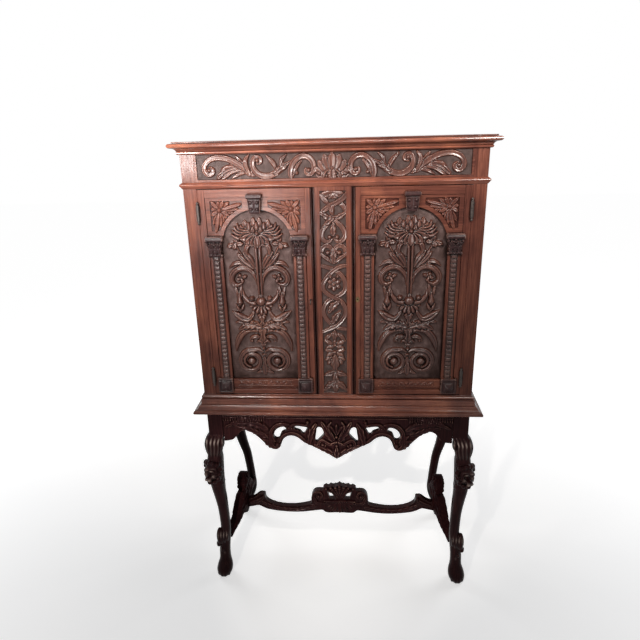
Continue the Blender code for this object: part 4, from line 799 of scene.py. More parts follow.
def slab_mesh(name, u, v, H, place, y0, thick):
    """Whole rectangle: carved front, four walls and one flat back face."""
    rows, cols = H.shape
    vj, vi = np.divmod(np.arange(rows * cols), cols)
    x, z = place(u[vi], v[vj])
    front = np.stack([x, y0 - H[vj, vi] / 1000, z], 1)
    index = np.arange(rows * cols).reshape(rows, cols)
    rim = np.r_[index[0, :-1], index[:-1, -1], index[-1, :0:-1], index[:0:-1, 0]]
    n = len(front)
    back = front[rim].copy()
    back[:, 1] = y0 + thick / 1000
    quads = np.stack([index[:-1, :-1], index[:-1, 1:], index[1:, 1:], index[1:, :-1]], -1).reshape(-1, 4)
    k = np.arange(len(rim))
    nxt = (k + 1) % len(rim)
    walls = np.stack([rim[nxt], rim, n + k, n + nxt], 1)
    mesh = bpy.data.meshes.new(name)
    faces = quads.tolist() + walls.tolist() + [(n + k[::-1]).tolist()]
    mesh.from_pydata(np.vstack([front, back]).tolist(), [], faces)
    mesh.validate()
    return mesh


def applied(ob):
    """The object's mesh with its modifiers worked in."""
    return bpy.data.meshes.new_from_object(ob.evaluated_get(bpy.context.evaluated_depsgraph_get()))


def show(name, mesh, body, mat, stands_for=(), thin=1.0):
    """Puts a mesh in the scene as one piece of a body, thinned to a share of its faces."""
    ob = bpy.data.objects.new(name, mesh)
    scene.collection.objects.link(ob)
    if thin < 1:
        mod = ob.modifiers.new("thin", "DECIMATE")
        mod.ratio = thin
        done = applied(ob)
        ob.modifiers.clear()
        ob.data = done
        bpy.data.meshes.remove(mesh)
        done.name = name
        mesh = done
    mesh.shade_smooth()
    mesh.materials.clear()
    mesh.materials.append(mat)
    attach(ob, body)
    if stands_for:
        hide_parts(*stands_for)
    return ob


CARVING_SUNK, CARVING_THIN = 0.9, 0.5
FRONT_Y = -0.2065
DOOR_C = 0.25095
DOOR_Z, STRIP_Z, FRIEZE_Z = 0.957, 0.8955, 1.557
PANEL_Y, PANEL_THICK, PANEL_THIN = FRONT_Y + 0.012, 9.0, 0.55
SPANDREL_Y = FRONT_Y + 0.0065
PITCH_MM = 1.2


def placer(x0, z0):
    """Turns millimetres of a drawing into x and z in metres."""
    def place(u, v):
        return x0 + u / 1000, z0 + v / 1000
    return place


def carve(name, relief, place, ground, body, mat):
    """ground is the y of the face that the carving lies on; the back is sunk in the wood."""
    H = box_blur(relief.H)
    cell = cells_within(spread(H > -0.2))
    front = np.maximum(H, 0.25 - CARVING_SUNK)
    back = np.full(H.shape, CARVING_SUNK)
    mesh = height_mesh(name, relief.u, relief.v, front, cell, place, ground, back)
    show(name, mesh, body, mat, (), CARVING_THIN)


def front_of(node):
    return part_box(node)[0].y


def panel_slab(name, relief, place, body, node):
    """Panel and carving in one piece: carved wood, punched ground where nothing rises, plain behind."""
    H = np.maximum(box_blur(relief.H), 0.0)
    mesh = slab_mesh(name, relief.u, relief.v, H, place, PANEL_Y, PANEL_THICK)
    mesh = show(name, mesh, body, CARVING, (node,), PANEL_THIN).data
    mesh.materials.append(GROUND)
    mesh.materials.append(MATS["case_walnut", 2])
    y = points_of(mesh)[:, 1]
    low = y > PANEL_Y - 0.0004
    deep = y > PANEL_Y + 0.0010
    index = np.empty(len(mesh.polygons), np.int32)
    for k, poly in enumerate(mesh.polygons):
        behind = any(deep[v] for v in poly.vertices)
        index[k] = 2 if behind else int(all(low[v] for v in poly.vertices))
    mesh.polygons.foreach_set("material_index", index)


def carve_fronts():
    door, corner, strip = door_panel(PITCH_MM), spandrel(PITCH_MM), rail_strip(PITCH_MM)
    for side, s in SIDES:
        body = side + "_door"
        place = placer(s * DOOR_C, DOOR_Z)
        panel_slab(body + "_carving", door, place, body, body + "_panel")
        carve(body + "_spandrels", corner, place, SPANDREL_Y, body, SPANDREL)
        carve(body + "_rail_strip", strip, placer(s * DOOR_C, STRIP_Z), FRONT_Y, body, SPANDREL)
    frieze_y, centre_y = front_of("frieze_panel"), front_of("centre_panel")
    carve("frieze_carving", frieze(PITCH_MM), placer(0.0, FRIEZE_Z), frieze_y, "case", CARVING)
    carve("centre_carving", centre(PITCH_MM), placer(0.0, DOOR_Z), centre_y, "case", CARVING)


carve_fronts()


# Pilasters and keystones as carved slabs
INNER_HALF = 0.11795
RIM_EDGE = 0.16215
Z_DOOR0, Z_DOOR1 = 0.8538, 1.5763
CAP_LOW = 1.3588
BEADS = 28
PILASTER_THIN, KEYSTONE_THIN = 0.36, 0.6


def rows_at(z, rows, col):
    """One column of a profile at the heights z."""
    return np.interp(z, [r[0] for r in rows], [r[col] for r in rows])


# Profiles in millimetres: height, half width, height over the front
CAP_ROWS = [(0, 21.5, 10), (1.5, 23.5, 13), (7, 23.5, 13), (9, 19.5, 9), (30, 21, 11.5), (43, 26, 15),
            (52, 27.5, 17),
            (53.5, 29, 21.5), (61, 29, 21.5), (63, 28, 20), (67.2, 27.5, 19.5)]
PLINTH_ROWS = [(8, 25, 10), (9.5, 25.5, 11), (53, 25.5, 11), (54.5, 24, 9.5), (57, 25, 12), (64, 25, 12)]


def pilaster(side, s, tag, flip):
    """u runs outwards from the door's middle, measured from the shaft's own middle line."""
    mid = INNER_HALF * 1000 + 0.3 + 21
    p = 1.0
    u = np.arange(-30, 32 + p / 2, p)
    z0, cap = Z_DOOR0 * 1000, CAP_LOW * 1000
    v = np.arange(z0 + 8, cap + 67.2 + p / 2, p)
    U, V = np.meshgrid(u, v)
    low = z0 + 64
    t = np.mod((V - low) / (cap - low) * BEADS, 1.0)
    bead = np.clip((9.6 - np.abs(U)) / 2.0, 0, 1) ** 0.6 * np.clip(np.minimum(t, 1 - t) / 0.16, 0, 1) ** 0.5
    bead = bead * (0.86 + 0.14 * np.sin(np.pi * t) * np.cos(U / 8))
    H = np.where(np.abs(U) < 11.6, -1.4 + 6.6 * bead, 0.6)
    half = np.full(V.shape, 21.0)
    off = np.zeros(V.shape)
    top = V >= cap
    H = np.where(top, rows_at(V - cap, CAP_ROWS, 2), H)
    half = np.where(top, rows_at(V - cap, CAP_ROWS, 1), half)
    off = np.where(top, 0.7, off)
    leaf = Relief(u[0], u[-1], v[0], v[-1], p, mirror=True)
    for a in (0, 13.5):
        leaf.leaf([(a + 0.01, cap + 9, 5, 2.5), (a * 1.06 + 0.01, cap + 20, 6.2, 4.5),
                   (a * 1.15 + 0.01, cap + 30, 4, 6.5)], 2, flip=bool(a))
    leaf.leaf([(6.5, cap + 22, 4, 3), (9, cap + 34, 5.5, 5), (13, cap + 45, 3, 6)], 2)
    leaf.stroke([(12, cap + 30, 2.5, 3), (19, cap + 40, 3.2, 5), (24, cap + 47, 3.2, 6),
                 (21.5, cap + 50, 2.2, 6)], "round")
    leaf.ball(22.5, cap + 45.5, 4.6, 7.5)
    leaf.ball(0, cap + 48.5, 5, 6.5)
    for a in (-150, -110, -70, -30):
        petal(leaf, 0, cap + 48, a, 3, 11, 2.6, 5, flip=False)
    H = np.where(top & (V < cap + 53), H + np.maximum(leaf.H, -1.2), H)
    foot = V <= low
    hf = rows_at(V - z0, PLINTH_ROWS, 2)
    du, dv = np.abs(U - 4.5), np.abs(V - z0 - 31)
    ring = np.maximum(du, dv)
    boss = 9.5 * np.clip(1 - ring / 17, 0, 1) ** 0.8
    boss = boss - 2.4 * np.exp(-((du - dv) / 1.6) ** 2) * np.clip((ring - 3) / 3, 0, 1) * (ring < 16.5)
    groove = -2.0 * (np.abs(ring - 18.5) < 1.2)
    H = np.where(foot, hf + np.where(V < z0 + 53, boss + groove, 0), H)
    half = np.where(foot, rows_at(V - z0, PLINTH_ROWS, 1), half)
    off = np.where(foot, 4.5, off)
    inside = np.abs(U - off) <= half + p / 2
    cell = cells_within(inside)
    back = np.where(mid + U > RIM_EDGE * 1000 - 0.6, -0.3, 11.7)

    def place(uu, vv):
        return s * DOOR_C + flip * s * (mid + uu) / 1000, vv / 1000
    name = f"{side}_door_pilaster_{tag}"
    mesh = height_mesh(name + "_carved", u, v, box_blur(H), cell, place, FRONT_Y, back)
    mesh = show(name + "_carved", mesh, side + "_door", CAPITAL, (name,),
                PILASTER_THIN).data
    mesh.materials.append(MATS["case_walnut", 2])
    mesh.materials.append(BEAD)
    mid_face = np.empty(len(mesh.polygons) * 3, np.float32)
    mesh.polygons.foreach_get("center", mid_face)
    mid_face = mid_face.reshape(-1, 3)
    z = mid_face[:, 2] * 1000
    uu = np.abs((mid_face[:, 0] - s * DOOR_C) * 1000 * flip * s - mid)
    shaft = (z > low) & (z < cap)
    index = np.where(shaft, np.where(uu > 11.8, 1, 2), 0)
    mesh.polygons.foreach_set("material_index", index.astype(np.int32))


KEY_ROWS = [(-77, 16.5, 11), (-72, 17.5, 13.5), (-34, 21, 18), (-31, 19.5, 16.5), (-28.5, 24, 22),
            (-26, 24.5, 24),
            (-20, 24.5, 24), (-18, 23.5, 23), (-15.5, 22.5, 21)]


def keystone(side, s):
    p = 0.8
    z1 = Z_DOOR1 * 1000
    u = np.arange(-25, 25 + p / 2, p)
    v = np.arange(z1 - 77, z1 - 15.5 + p / 2, p)
    U, V = np.meshgrid(u, v)
    H = rows_at(V - z1, KEY_ROWS, 2)
    half = rows_at(V - z1, KEY_ROWS, 1)
    q = U / half
    field = (V < z1 - 35) & (V > z1 - 73)
    line = np.clip((np.abs(q) - 0.80) / 0.06, 0, 1) * np.clip((0.97 - np.abs(q)) / 0.06, 0, 1)
    H = H - np.where(field, 2.2 * line, 0)
    H = H - np.where(field, 1.2 * np.exp(-(q / 0.10) ** 2), 0)
    for du, dv in ((-11, -42), (11, -42), (-9.5, -64), (9.5, -64)):
        d = np.hypot(U - du, V - z1 - dv) / 5.0
        knob = rows_at(V - z1, KEY_ROWS, 2) + 4.2 * np.sqrt(np.maximum(1 - d * d, 0))
        H = np.where(d < 1, np.maximum(H, knob), H)
        ring = np.abs(d - 1.12) < 0.14
        H = np.where(ring, H - 0.9, H)
    cell = cells_within(np.abs(U) <= half + p / 2)
    back = np.where(V > z1 - 27.5, -0.3, 2.7)
    name = f"{side}_door_keystone"
    place = placer(s * DOOR_C, 0.0)
    mesh = height_mesh(name + "_carved", u, v, box_blur(H), cell, place, FRONT_Y, back)
    show(name + "_carved", mesh, side + "_door", CAPITAL, (name,), KEYSTONE_THIN)


for side_name, sign in SIDES:
    keystone(side_name, sign)
    for tag_name, flip_sign in (("meeting", -1), ("hinge", 1)):
        pilaster(side_name, sign, tag_name, flip_sign)


# Sculpted stand: shells are fused by a voxel remesh, then cut back along the surface
FUSE_EASES = 3


def ellipsoid(c, r, seg=18, rings=12):
    verts = [(c[0], c[1], c[2] - r[2])]
    for i in range(1, rings):
        b = math.pi * (i / rings - 0.5)
        for k in range(seg):
            a = 2 * math.pi * k / seg
            x, y = r[0] * math.cos(b) * math.cos(a), r[1] * math.cos(b) * math.sin(a)
            verts.append((c[0] + x, c[1] + y, c[2] + r[2] * math.sin(b)))
    verts.append((c[0], c[1], c[2] + r[2]))
    last = len(verts) - 1
    faces = [(0, 1 + (k + 1) % seg, 1 + k) for k in range(seg)]
    for i in range(rings - 2):
        for k in range(seg):
            a, b = 1 + i * seg + k, 1 + i * seg + (k + 1) % seg
            faces.append((a, b, b + seg, a + seg))
    base = 1 + (rings - 2) * seg
    faces += [(base + k, base + (k + 1) % seg, last) for k in range(seg)]
    return verts, faces


def loft(rings):
    """Closed shell through rings of points, with flat ends."""
    n = len(rings[0])
    verts = [tuple(p) for ring in rings for p in ring]
    faces = [tuple(range(n - 1, -1, -1))]
    for i in range(len(rings) - 1):
        for k in range(n):
            a, b = i * n + k, i * n + (k + 1) % n
            faces.append((a, b, b + n, a + n))
    faces.append(tuple(range((len(rings) - 1) * n, len(rings) * n)))
    return verts, faces


def node_shell(name):
    """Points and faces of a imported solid, its doubled points merged."""
    mesh = NODES[name].data
    bm = bmesh.new()
    bm.from_mesh(mesh)
    bmesh.ops.remove_doubles(bm, verts=bm.verts[:], dist=0.00001)
    verts = [tuple(p.co) for p in bm.verts]
    faces = [tuple(q.index for q in f.verts) for f in bm.faces]
    bm.free()
    return verts, faces


def shell_mesh(name, verts, faces):
    """A mesh of these faces, all turned to look outwards."""
    mesh = bpy.data.meshes.new(name)
    mesh.from_pydata(verts, [], faces)
    mesh.validate()
    bm = bmesh.new()
    bm.from_mesh(mesh)
    bmesh.ops.recalc_face_normals(bm, faces=bm.faces[:])
    bm.to_mesh(mesh)
    bm.free()
    return mesh


def fuse(name, shells, voxel):
    """One skin round all the shells, eased."""
    verts, faces = [], []
    for pts, polys in shells:
        n = len(verts)
        verts += pts
        faces += [tuple(k + n for k in poly) for poly in polys]
    mesh = shell_mesh(name, verts, faces)
    tmp = bpy.data.objects.new(name + "_tmp", mesh)
    scene.collection.objects.link(tmp)
    mod = tmp.modifiers.new("fuse", "REMESH")
    mod.mode = "VOXEL"
    mod.voxel_size = voxel
    done = applied(tmp)
    bpy.data.objects.remove(tmp)
    bpy.data.meshes.remove(mesh)
    done.name = name
    ease(done, FUSE_EASES)
    return done


def normals_of(mesh):
    no = np.empty(len(mesh.vertices) * 3, np.float32)
    mesh.vertices.foreach_get("normal", no)
    return no.reshape(-1, 3).astype(float)


def set_points(mesh, co):
    mesh.vertices.foreach_set("co", co.astype(np.float32).ravel())
    mesh.update()


def ease(mesh, times, amount=0.5):
    """Moves each point towards the middle of its neighbours."""
    ed = np.empty(len(mesh.edges) * 2, np.int32)
    mesh.edges.foreach_get("vertices", ed)
    ed = ed.reshape(-1, 2)
    co = points_of(mesh)
    n = len(co)
    count = np.bincount(ed.ravel(), minlength=n).astype(float)[:, None]
    for _ in range(times):
        total = np.stack([np.bincount(ed[:, 0], co[ed[:, 1], k],
                                      n) + np.bincount(ed[:, 1], co[ed[:, 0], k], n)
                          for k in range(3)], 1)
        co += amount * (total / np.maximum(count, 1) - co)
    set_points(mesh, co)


def step(x, a, b):
    """Smooth rise from 0 at a to 1 at b."""
    t = np.clip((x - a) / (b - a), 0, 1)
    return t * t * (3 - 2 * t)


def grooves(phase, sharp=0.8):
    """0 on the crest of a reed, 1 at the bottom of the groove."""
    return 1 - np.abs(np.cos(phase)) ** sharp


# Legs by height: distance outwards, depth, half width, half depth, squareness
BLOCK_X = 0.4515
LEG_ROWS = [
    (0.000, 0.0290, 0.0290, 0.0225, 0.0270, 2.0), (0.010, 0.0285, 0.0280, 0.0290, 0.0330, 2.0),
    (0.028, 0.0265, 0.0275, 0.0330, 0.0350, 2.0), (0.048, 0.0240, 0.0295, 0.0310, 0.0310, 2.0),
    (0.075, 0.0220, 0.0340, 0.0240, 0.0245, 2.1), (0.114, 0.0212, 0.0360, 0.0222, 0.0212, 2.2),
    (0.145, 0.0185, 0.0370, 0.0220, 0.0205, 2.2), (0.175, 0.0140, 0.0370, 0.0212, 0.0200, 2.2),
    (0.226, 0.0092, 0.0370, 0.0200, 0.0195, 2.2), (0.278, 0.0090, 0.0350, 0.0200, 0.0200, 2.2),
    (0.332, 0.0105, 0.0320, 0.0208, 0.0215, 2.2), (0.385, 0.0142, 0.0290, 0.0235, 0.0245, 2.3),
    (0.418, 0.0172, 0.0260, 0.0250, 0.0265, 2.4), (0.441, 0.0185, 0.0240, 0.0268, 0.0275, 2.5),
    (0.472, 0.0190, 0.0225, 0.0275, 0.0280, 2.6), (0.517, 0.0185, 0.0220, 0.0285, 0.0285, 2.7),
    (0.567, 0.0178, 0.0220, 0.0300, 0.0300, 2.8), (0.607, 0.0172, 0.0220, 0.0305, 0.0305, 3.0),
    (0.647, 0.0135, 0.0240, 0.0300, 0.0300, 3.6), (0.668, 0.0050, 0.0262, 0.0295, 0.0295, 6.0),
    (0.679, 0.0000, 0.0275, 0.0275, 0.0275, 30.0), (0.769, 0.0000, 0.0275, 0.0275, 0.0275, 30.0),
]
BACK_ROWS = [
    (0.000, 0.0220, 0.0275, 0.0190, 0.0190, 2.2), (0.012, 0.0215, 0.0275, 0.0225, 0.0225, 2.2),
    (0.028, 0.0190, 0.0275, 0.0230, 0.0230, 2.2), (0.052, 0.0095, 0.0275, 0.0205, 0.0205, 2.2),
    (0.085, -0.0080, 0.0275, 0.0180, 0.0180, 2.2), (0.115, -0.0210, 0.0275, 0.0175, 0.0175, 2.2),
    (0.145, -0.0284, 0.0275, 0.0177, 0.0177, 2.2), (0.207, -0.0259, 0.0275, 0.0182, 0.0182, 2.2),
    (0.270, -0.0200, 0.0275, 0.0185, 0.0185, 2.2), (0.331, -0.0123, 0.0275, 0.0192, 0.0192, 2.3),
    (0.390, 0.0030, 0.0275, 0.0215, 0.0212, 2.4), (0.449, 0.0150, 0.0275, 0.0243, 0.0235, 2.5),
    (0.520, 0.0175, 0.0275, 0.0272, 0.0255, 2.7), (0.590, 0.0150, 0.0275, 0.0282, 0.0268, 3.0),
    (0.640, 0.0080, 0.0275, 0.0280, 0.0273, 4.5), (0.671, 0.0010, 0.0275, 0.0276, 0.0274, 10.0),
    (0.679, 0.0000, 0.0275, 0.0275, 0.0275, 30.0), (0.769, 0.0000, 0.0275, 0.0275, 0.0275, 30.0),
]
BODY_D = 0.450
BLOCK_LOW = 0.668


def fine_rows(rows, dz=0.008):
    """Rows at close heights: a smooth curve below the block, straight lines in it."""
    z = np.array([r[0] for r in rows])
    zz = np.unique(np.r_[np.arange(0, z[-1], dz), z])
    t = np.array(rows)
    slope = np.gradient(t, z, axis=0)
    i = np.clip(np.searchsorted(z, zz, side="right") - 1, 0, len(z) - 2)
    h = (z[i + 1] - z[i])[:, None]
    q = ((zz - z[i])[:, None] / h)
    m0, m1 = slope[i] * h, slope[i + 1] * h
    val = ((2 * q ** 3 - 3 * q ** 2 + 1) * t[i] + (q ** 3 - 2 * q ** 2 + q) * m0
           + (-2 * q ** 3 + 3 * q ** 2) * t[i + 1] + (q ** 3 - q ** 2) * m1)
    hard = zz > BLOCK_LOW
    lin = np.stack([np.interp(zz, z, t[:, k]) for k in range(t.shape[1])], 1)
    val[:, 5] = lin[:, 5]
    return np.where(hard[:, None], lin, val)


def leg_shell(s, rows, back, sides=40):
    rings = []
    for z, out, d, hx, hd, power in fine_rows(rows):
        a = (np.arange(sides) + 0.5) * 2 * np.pi / sides
        c, si = np.cos(a), np.sin(a)
        px = np.sign(c) * np.abs(c) ** (2 / power) * hx
        pd = np.sign(si) * np.abs(si) ** (2 / power) * hd
        mid = BODY_D - d if back else d
        rings.append(np.stack([s * (BLOCK_X + out + px), FRONT_Y + mid + pd, np.full(sides, z)],
                              1).tolist())
    return loft(rings)


# Lion mask in its own directions, millimetres: forwards from the leg's middle, across, height, three radii
MASK_MID, MASK_TURN = (0.0188, 0.0222), math.radians(-66)
FACE_AHEAD = 0.03
MASK = [
    (22, 0, 530, 22, 30, 34), (47, 0, 502, 13, 14, 13), (58, 0, 509, 6, 8.5, 5), (44, 0, 481, 10, 11, 8),
    (34, 0, 563, 11, 10, 10),
]
for across in (-1, 1):
    MASK += [
        (42, 12 * across, 534, 8, 12, 6), (52, 7.5 * across, 497, 8.5, 8, 7),
             (36, 18 * across, 510, 11, 11, 13),
        (33, 14 * across, 560, 10, 9.5, 11), (25, 27 * across, 553, 11, 9.5, 12),
             (18, 34 * across, 534, 12, 9.5, 11),
        (20, 33 * across, 513, 12, 9, 11), (25, 27 * across, 493, 11, 9, 11),
             (34, 15 * across, 482, 9, 8.5, 10),
    ]
# Leaf cuff over the ankle and the roll behind the knee: outwards, depth, height, three radii
CUFF = [
    (-16, 12, 645, 8, 18, 26), (34, 25, 188, 13.5, 19, 44), (40, 22, 157, 10, 14.5, 13),
        (26, 14, 131, 6.5, 7, 10),
    (3, 22, 196, 6.5, 8.5, 27), (14, 18.5, 192, 7, 8.5, 30), (26, 19, 190, 7, 8.5, 31),
]


def mask_ball(s, row):
    """An ellipsoid of the mask, turned from its own directions to the leg's."""
    forward, across, z, r_forward, r_across, r_up = (value / 1000 for value in row)
    verts, faces = ellipsoid((forward, across, z), (r_forward, r_across, r_up))
    c, si = math.cos(MASK_TURN), math.sin(MASK_TURN)
    turned = [(s * (BLOCK_X + MASK_MID[0] + a * c - b * si), FRONT_Y + MASK_MID[1] + a * si + b * c, h)
              for a, b, h in verts]
    return turned, faces


def on_leg(co, s):
    """Distance outwards, depth, both from the leg's middle line, and the angle round it."""
    o, d, z = s * co[:, 0] - BLOCK_X, co[:, 1] - FRONT_Y, co[:, 2]
    rows = np.array(LEG_ROWS)
    from_o = o - np.interp(z, rows[:, 0], rows[:, 1])
    from_d = d - np.interp(z, rows[:, 0], rows[:, 2])
    return o, d, from_o, from_d, np.arctan2(from_d, from_o)


def on_mask(o, d):
    """Distance ahead of the mask's middle, and across it without its sign."""
    o, d = o - MASK_MID[0], d - MASK_MID[1]
    c, si = math.cos(MASK_TURN), math.sin(MASK_TURN)
    return o * c + d * si, np.abs(d * c - o * si)


def spot(distance, size):
    return np.exp(-(distance / size) ** 2)


def reeds(angle, z):
    """Phase of the twisted reeds on the knee."""
    return 8 * angle + 1.5 * np.sin((z - 0.57) * 30)


def paint_glints(mesh, s):
    """Marks the crests that get painted glints: knee reeds, muzzle and cuff."""
    co, no = points_of(mesh), normals_of(mesh)
    z = co[:, 2]
    o, d, _, _, th = on_leg(co, s)
    front = step(-no[:, 1], 0.35, 0.75)
    crest = np.abs(np.cos(reeds(th, z))) ** 6
    painted_glint = 0.66 * crest * spot(z - 0.653, 0.010)
    painted_glint = painted_glint + 0.09 * crest * step(z, 0.58, 0.60) * (1 - step(z, 0.66, 0.67))
    ahead, across = on_mask(o, d)
    lip = np.hypot(across - 0.0075, z - 0.4985)
    brow = np.hypot((across - 0.012) * 0.6, z - 0.5370)
    cheek = np.hypot(across - 0.0180, z - 0.5130)
    face = 0.70 * spot(lip, 0.0050) + 0.35 * spot(brow, 0.0040) + 0.30 * spot(cheek, 0.0055)
    painted_glint = painted_glint + face * (ahead > FACE_AHEAD)
    strand = np.abs(np.sin(math.pi * (o + 0.0025) / 0.0115)) ** 4
    painted_glint = painted_glint + 0.45 * strand * spot(z - 0.2060, 0.010)
    painted_glint = painted_glint + 0.6 * spot(np.hypot(o - 0.0180, z - 0.1140), 0.0030)
    layer = mesh.attributes.new("painted_glint", "FLOAT", "POINT")
    layer.data.foreach_set("value", np.clip(painted_glint * front, 0, 1).astype(np.float32))


def front_leg(side, s):
    shells = [leg_shell(s, LEG_ROWS, False)]
    for row in MASK:
        shells.append(mask_ball(s, row))
    for o, d, z, ro, rd, rz in CUFF:
        at = (s * (BLOCK_X + o / 1000), FRONT_Y + d / 1000, z / 1000)
        shells.append(ellipsoid(at, (ro / 1000, rd / 1000, rz / 1000)))
    for k in range(4):
        at = (s * (BLOCK_X + (0.0085 + 0.0130 * k)), FRONT_Y + 0.004 + 0.0060 * abs(k - 1.5) ** 1.5, 0.0180)
        shells.append(ellipsoid(at, (0.0086, 0.0135, 0.0175)))
    name = "leg_front_" + side
    mesh = fuse(name + "_carved", shells, 0.0015)
    co, no = points_of(mesh), normals_of(mesh)
    z = co[:, 2]
    o, d, from_o, from_d, th = on_leg(co, s)
    f = np.zeros(len(z))
    # reeded knee, swelling towards the corner
    knee = step(z, 0.572, 0.596) * (1 - step(z, 0.672, 0.682))
    f -= 0.0034 * knee * grooves(reeds(th, z), 0.6)
    corner = np.arctan2(-1, 1)
    turn = np.abs((th - corner + np.pi) % (2 * np.pi) - np.pi)
    out = 0.30 + 0.70 * step(np.cos(turn), -0.2, 0.9)
    f += (0.0062 * out * step(z, 0.585, 0.642) * (1 - step(z, 0.664, 0.682))
          - 0.0030 * spot(z - 0.588, 0.012))
    # mane and the ruff under it
    mane = step(z, 0.468, 0.485) * (1 - step(z, 0.560, 0.576)) * step(turn, 0.75, 1.05)
    f -= 0.0024 * mane * grooves(11 * th + 70 * (z - 0.5) * np.sign(th - corner), 0.7)
    f += 0.0016 * spot(z - 0.458, 0.006) * np.abs(np.cos(8 * th))
    # eyes and mouth
    ahead, across = on_mask(o, d)
    eye = np.hypot(across - 0.0115, z - 0.5225)
    f -= 0.0046 * spot(eye, 0.0050) * (ahead > FACE_AHEAD)
    mouth = spot(z - 0.4900, 0.0020) * (across < 0.014) * (ahead > FACE_AHEAD)
    f -= 0.0040 * mouth
    # leaf cuff and toes
    leaf = step(z, 0.146, 0.158) * (1 - step(z, 0.218, 0.234)) * step(from_o, 0.008, 0.014)
    f -= 0.0012 * leaf * grooves(6.5 * th + 20 * (z - 0.19), 0.7)
    toes = (1 - step(z, 0.030, 0.052)) * step(-from_d, 0.0, 0.012)
    f -= 0.0010 * toes * grooves(math.pi * (o - 0.0020) / 0.0130 + math.pi / 2, 0.5)
    f = np.where(z < 0.003, 0.0, f)
    co = co + no * f[:, None]
    co[:, 2] = np.maximum(co[:, 2], 0.0)
    set_points(mesh, co)
    ease(mesh, 1, 0.35)
    paint_glints(show(name + "_carved", mesh, "case", LION, (name,), 0.42).data, s)


def back_leg(side, s):
    name = "leg_back_" + side
    mesh = shell_mesh(name, *leg_shell(s, BACK_ROWS, True))
    show(name + "_shaped", mesh, "case", MATS["stand_walnut", 2], (name,))


def sampled(r, u, v):
    """Height of a drawing between its grid points."""
    i = np.clip((u - r.u[0]) / r.pitch, 0, len(r.u) - 1.001)
    j = np.clip((v - r.v[0]) / r.pitch, 0, len(r.v) - 1.001)
    i0, j0 = i.astype(int), j.astype(int)
    fi, fj = i - i0, j - j0
    H = r.H
    lower = H[j0, i0] * (1 - fi) + H[j0, i0 + 1] * fi
    upper = H[j0 + 1, i0] * (1 - fi) + H[j0 + 1, i0 + 1] * fi
    return lower * (1 - fj) + upper * fj


def apron_relief(p):
    r = Relief(-426, 426, 576, 772, p, mirror=True)
    stroke, leaf, ball = r.stroke, r.leaf, r.ball
    # leafy ends
    leaf([(272, 684, 6, 4), (304, 694, 12, 6), (340, 712, 12, 6), (378, 712, 4, 4)], 4)
    leaf([(258, 706, 8, 5), (290, 722, 16, 7), (332, 734, 17, 7), (374, 730, 11, 6), (412, 712, 4, 4)], 5)
    # lobes round the drop curl
    for a, l in ((-34, 34), (-8, 44), (18, 50), (44, 52), (70, 44)):
        petal(r, 228, 646, a, 8, l, 7, 7)
    # scroll round the outer hole
    stroke([(212, 632, 5, 6), (232, 626, 7, 8), (246, 646, 6.5, 8), (247, 678, 6, 8), (241, 702, 6, 8),
            (222, 722, 6, 8), (196, 727, 6, 8),
       (176, 722, 5, 7), (166, 708, 3, 6)], "cove")
    ball(222, 640, 9, 10)
    # arch under the holes
    stroke([(213, 650, 3, 6), (206, 668, 5, 8), (192, 682, 5.5, 8), (170, 689, 5.5, 8), (148, 684, 5.5, 8),
            (130, 670, 5.5, 8), (114, 654, 5, 7),
       (100, 646, 3, 6)], "cove")
    # tendril and bud over the middle hole
    stroke([(176, 712, 4, 6), (158, 726, 5, 7), (134, 727, 4.5, 7), (112, 724, 4, 7), (100, 734, 3, 6)],
           "vein")
    ball(106, 736, 7, 8.5)
    # upright leaf
    leaf([(102, 640, 6, 6), (98, 668, 11, 8), (91, 700, 11, 9), (76, 728, 5, 7)], 3)
    # centre cartouche: a cup of two leaves over a bowl of scrolls
    leaf([(4, 646, 6, 7), (20, 672, 12, 9), (36, 704, 14, 10), (54, 736, 4, 7)], 4)
    stroke([(8, 668, 3, 8), (20, 694, 6, 12), (28, 722, 5, 12), (20, 738, 3, 9)], "vein")
    stroke([(10, 640, 4, 7), (30, 646, 6, 9), (54, 660, 6.5, 10), (66, 650, 6, 10), (64, 634, 6, 10),
            (50, 628, 5.5, 10), (42, 638, 4, 9)], "cove")
    ball(52, 644, 7.5, 11)
    leaf([(4, 598, 6, 7), (26, 612, 11, 9), (52, 624, 9, 9), (82, 640, 4, 6)], 3)
    leaf([(0, 588, 7, 8), (0, 606, 12, 11), (0, 630, 4, 8)], 2, flip=False)
    stroke([(22, 646, 2.5, 8), (10, 654, 3.4, 10), (0, 656, 4, 11)], "round")
    ball(0, 640, 7, 11)
    ball(0, 676, 6, 9)
    for a in (90, 62):
        petal(r, 0, 680, a, 6, 46, 6, 7, flip=(a != 90))
    # flutes over the leafy ends
    for u in range(268, 424, 9):
        stroke([(u, 738, 2.6, 2.6), (u, 752, 2.6, 2.6)], "round", flip=True)
    # moulded edge at the top
    stroke([(0, 760, 3.4, 3.4), (424, 760, 3.4, 3.4)], "round")
    stroke([(0, 749, 1.6, 2.2), (424, 749, 1.6, 2.2)], "round")
    return r


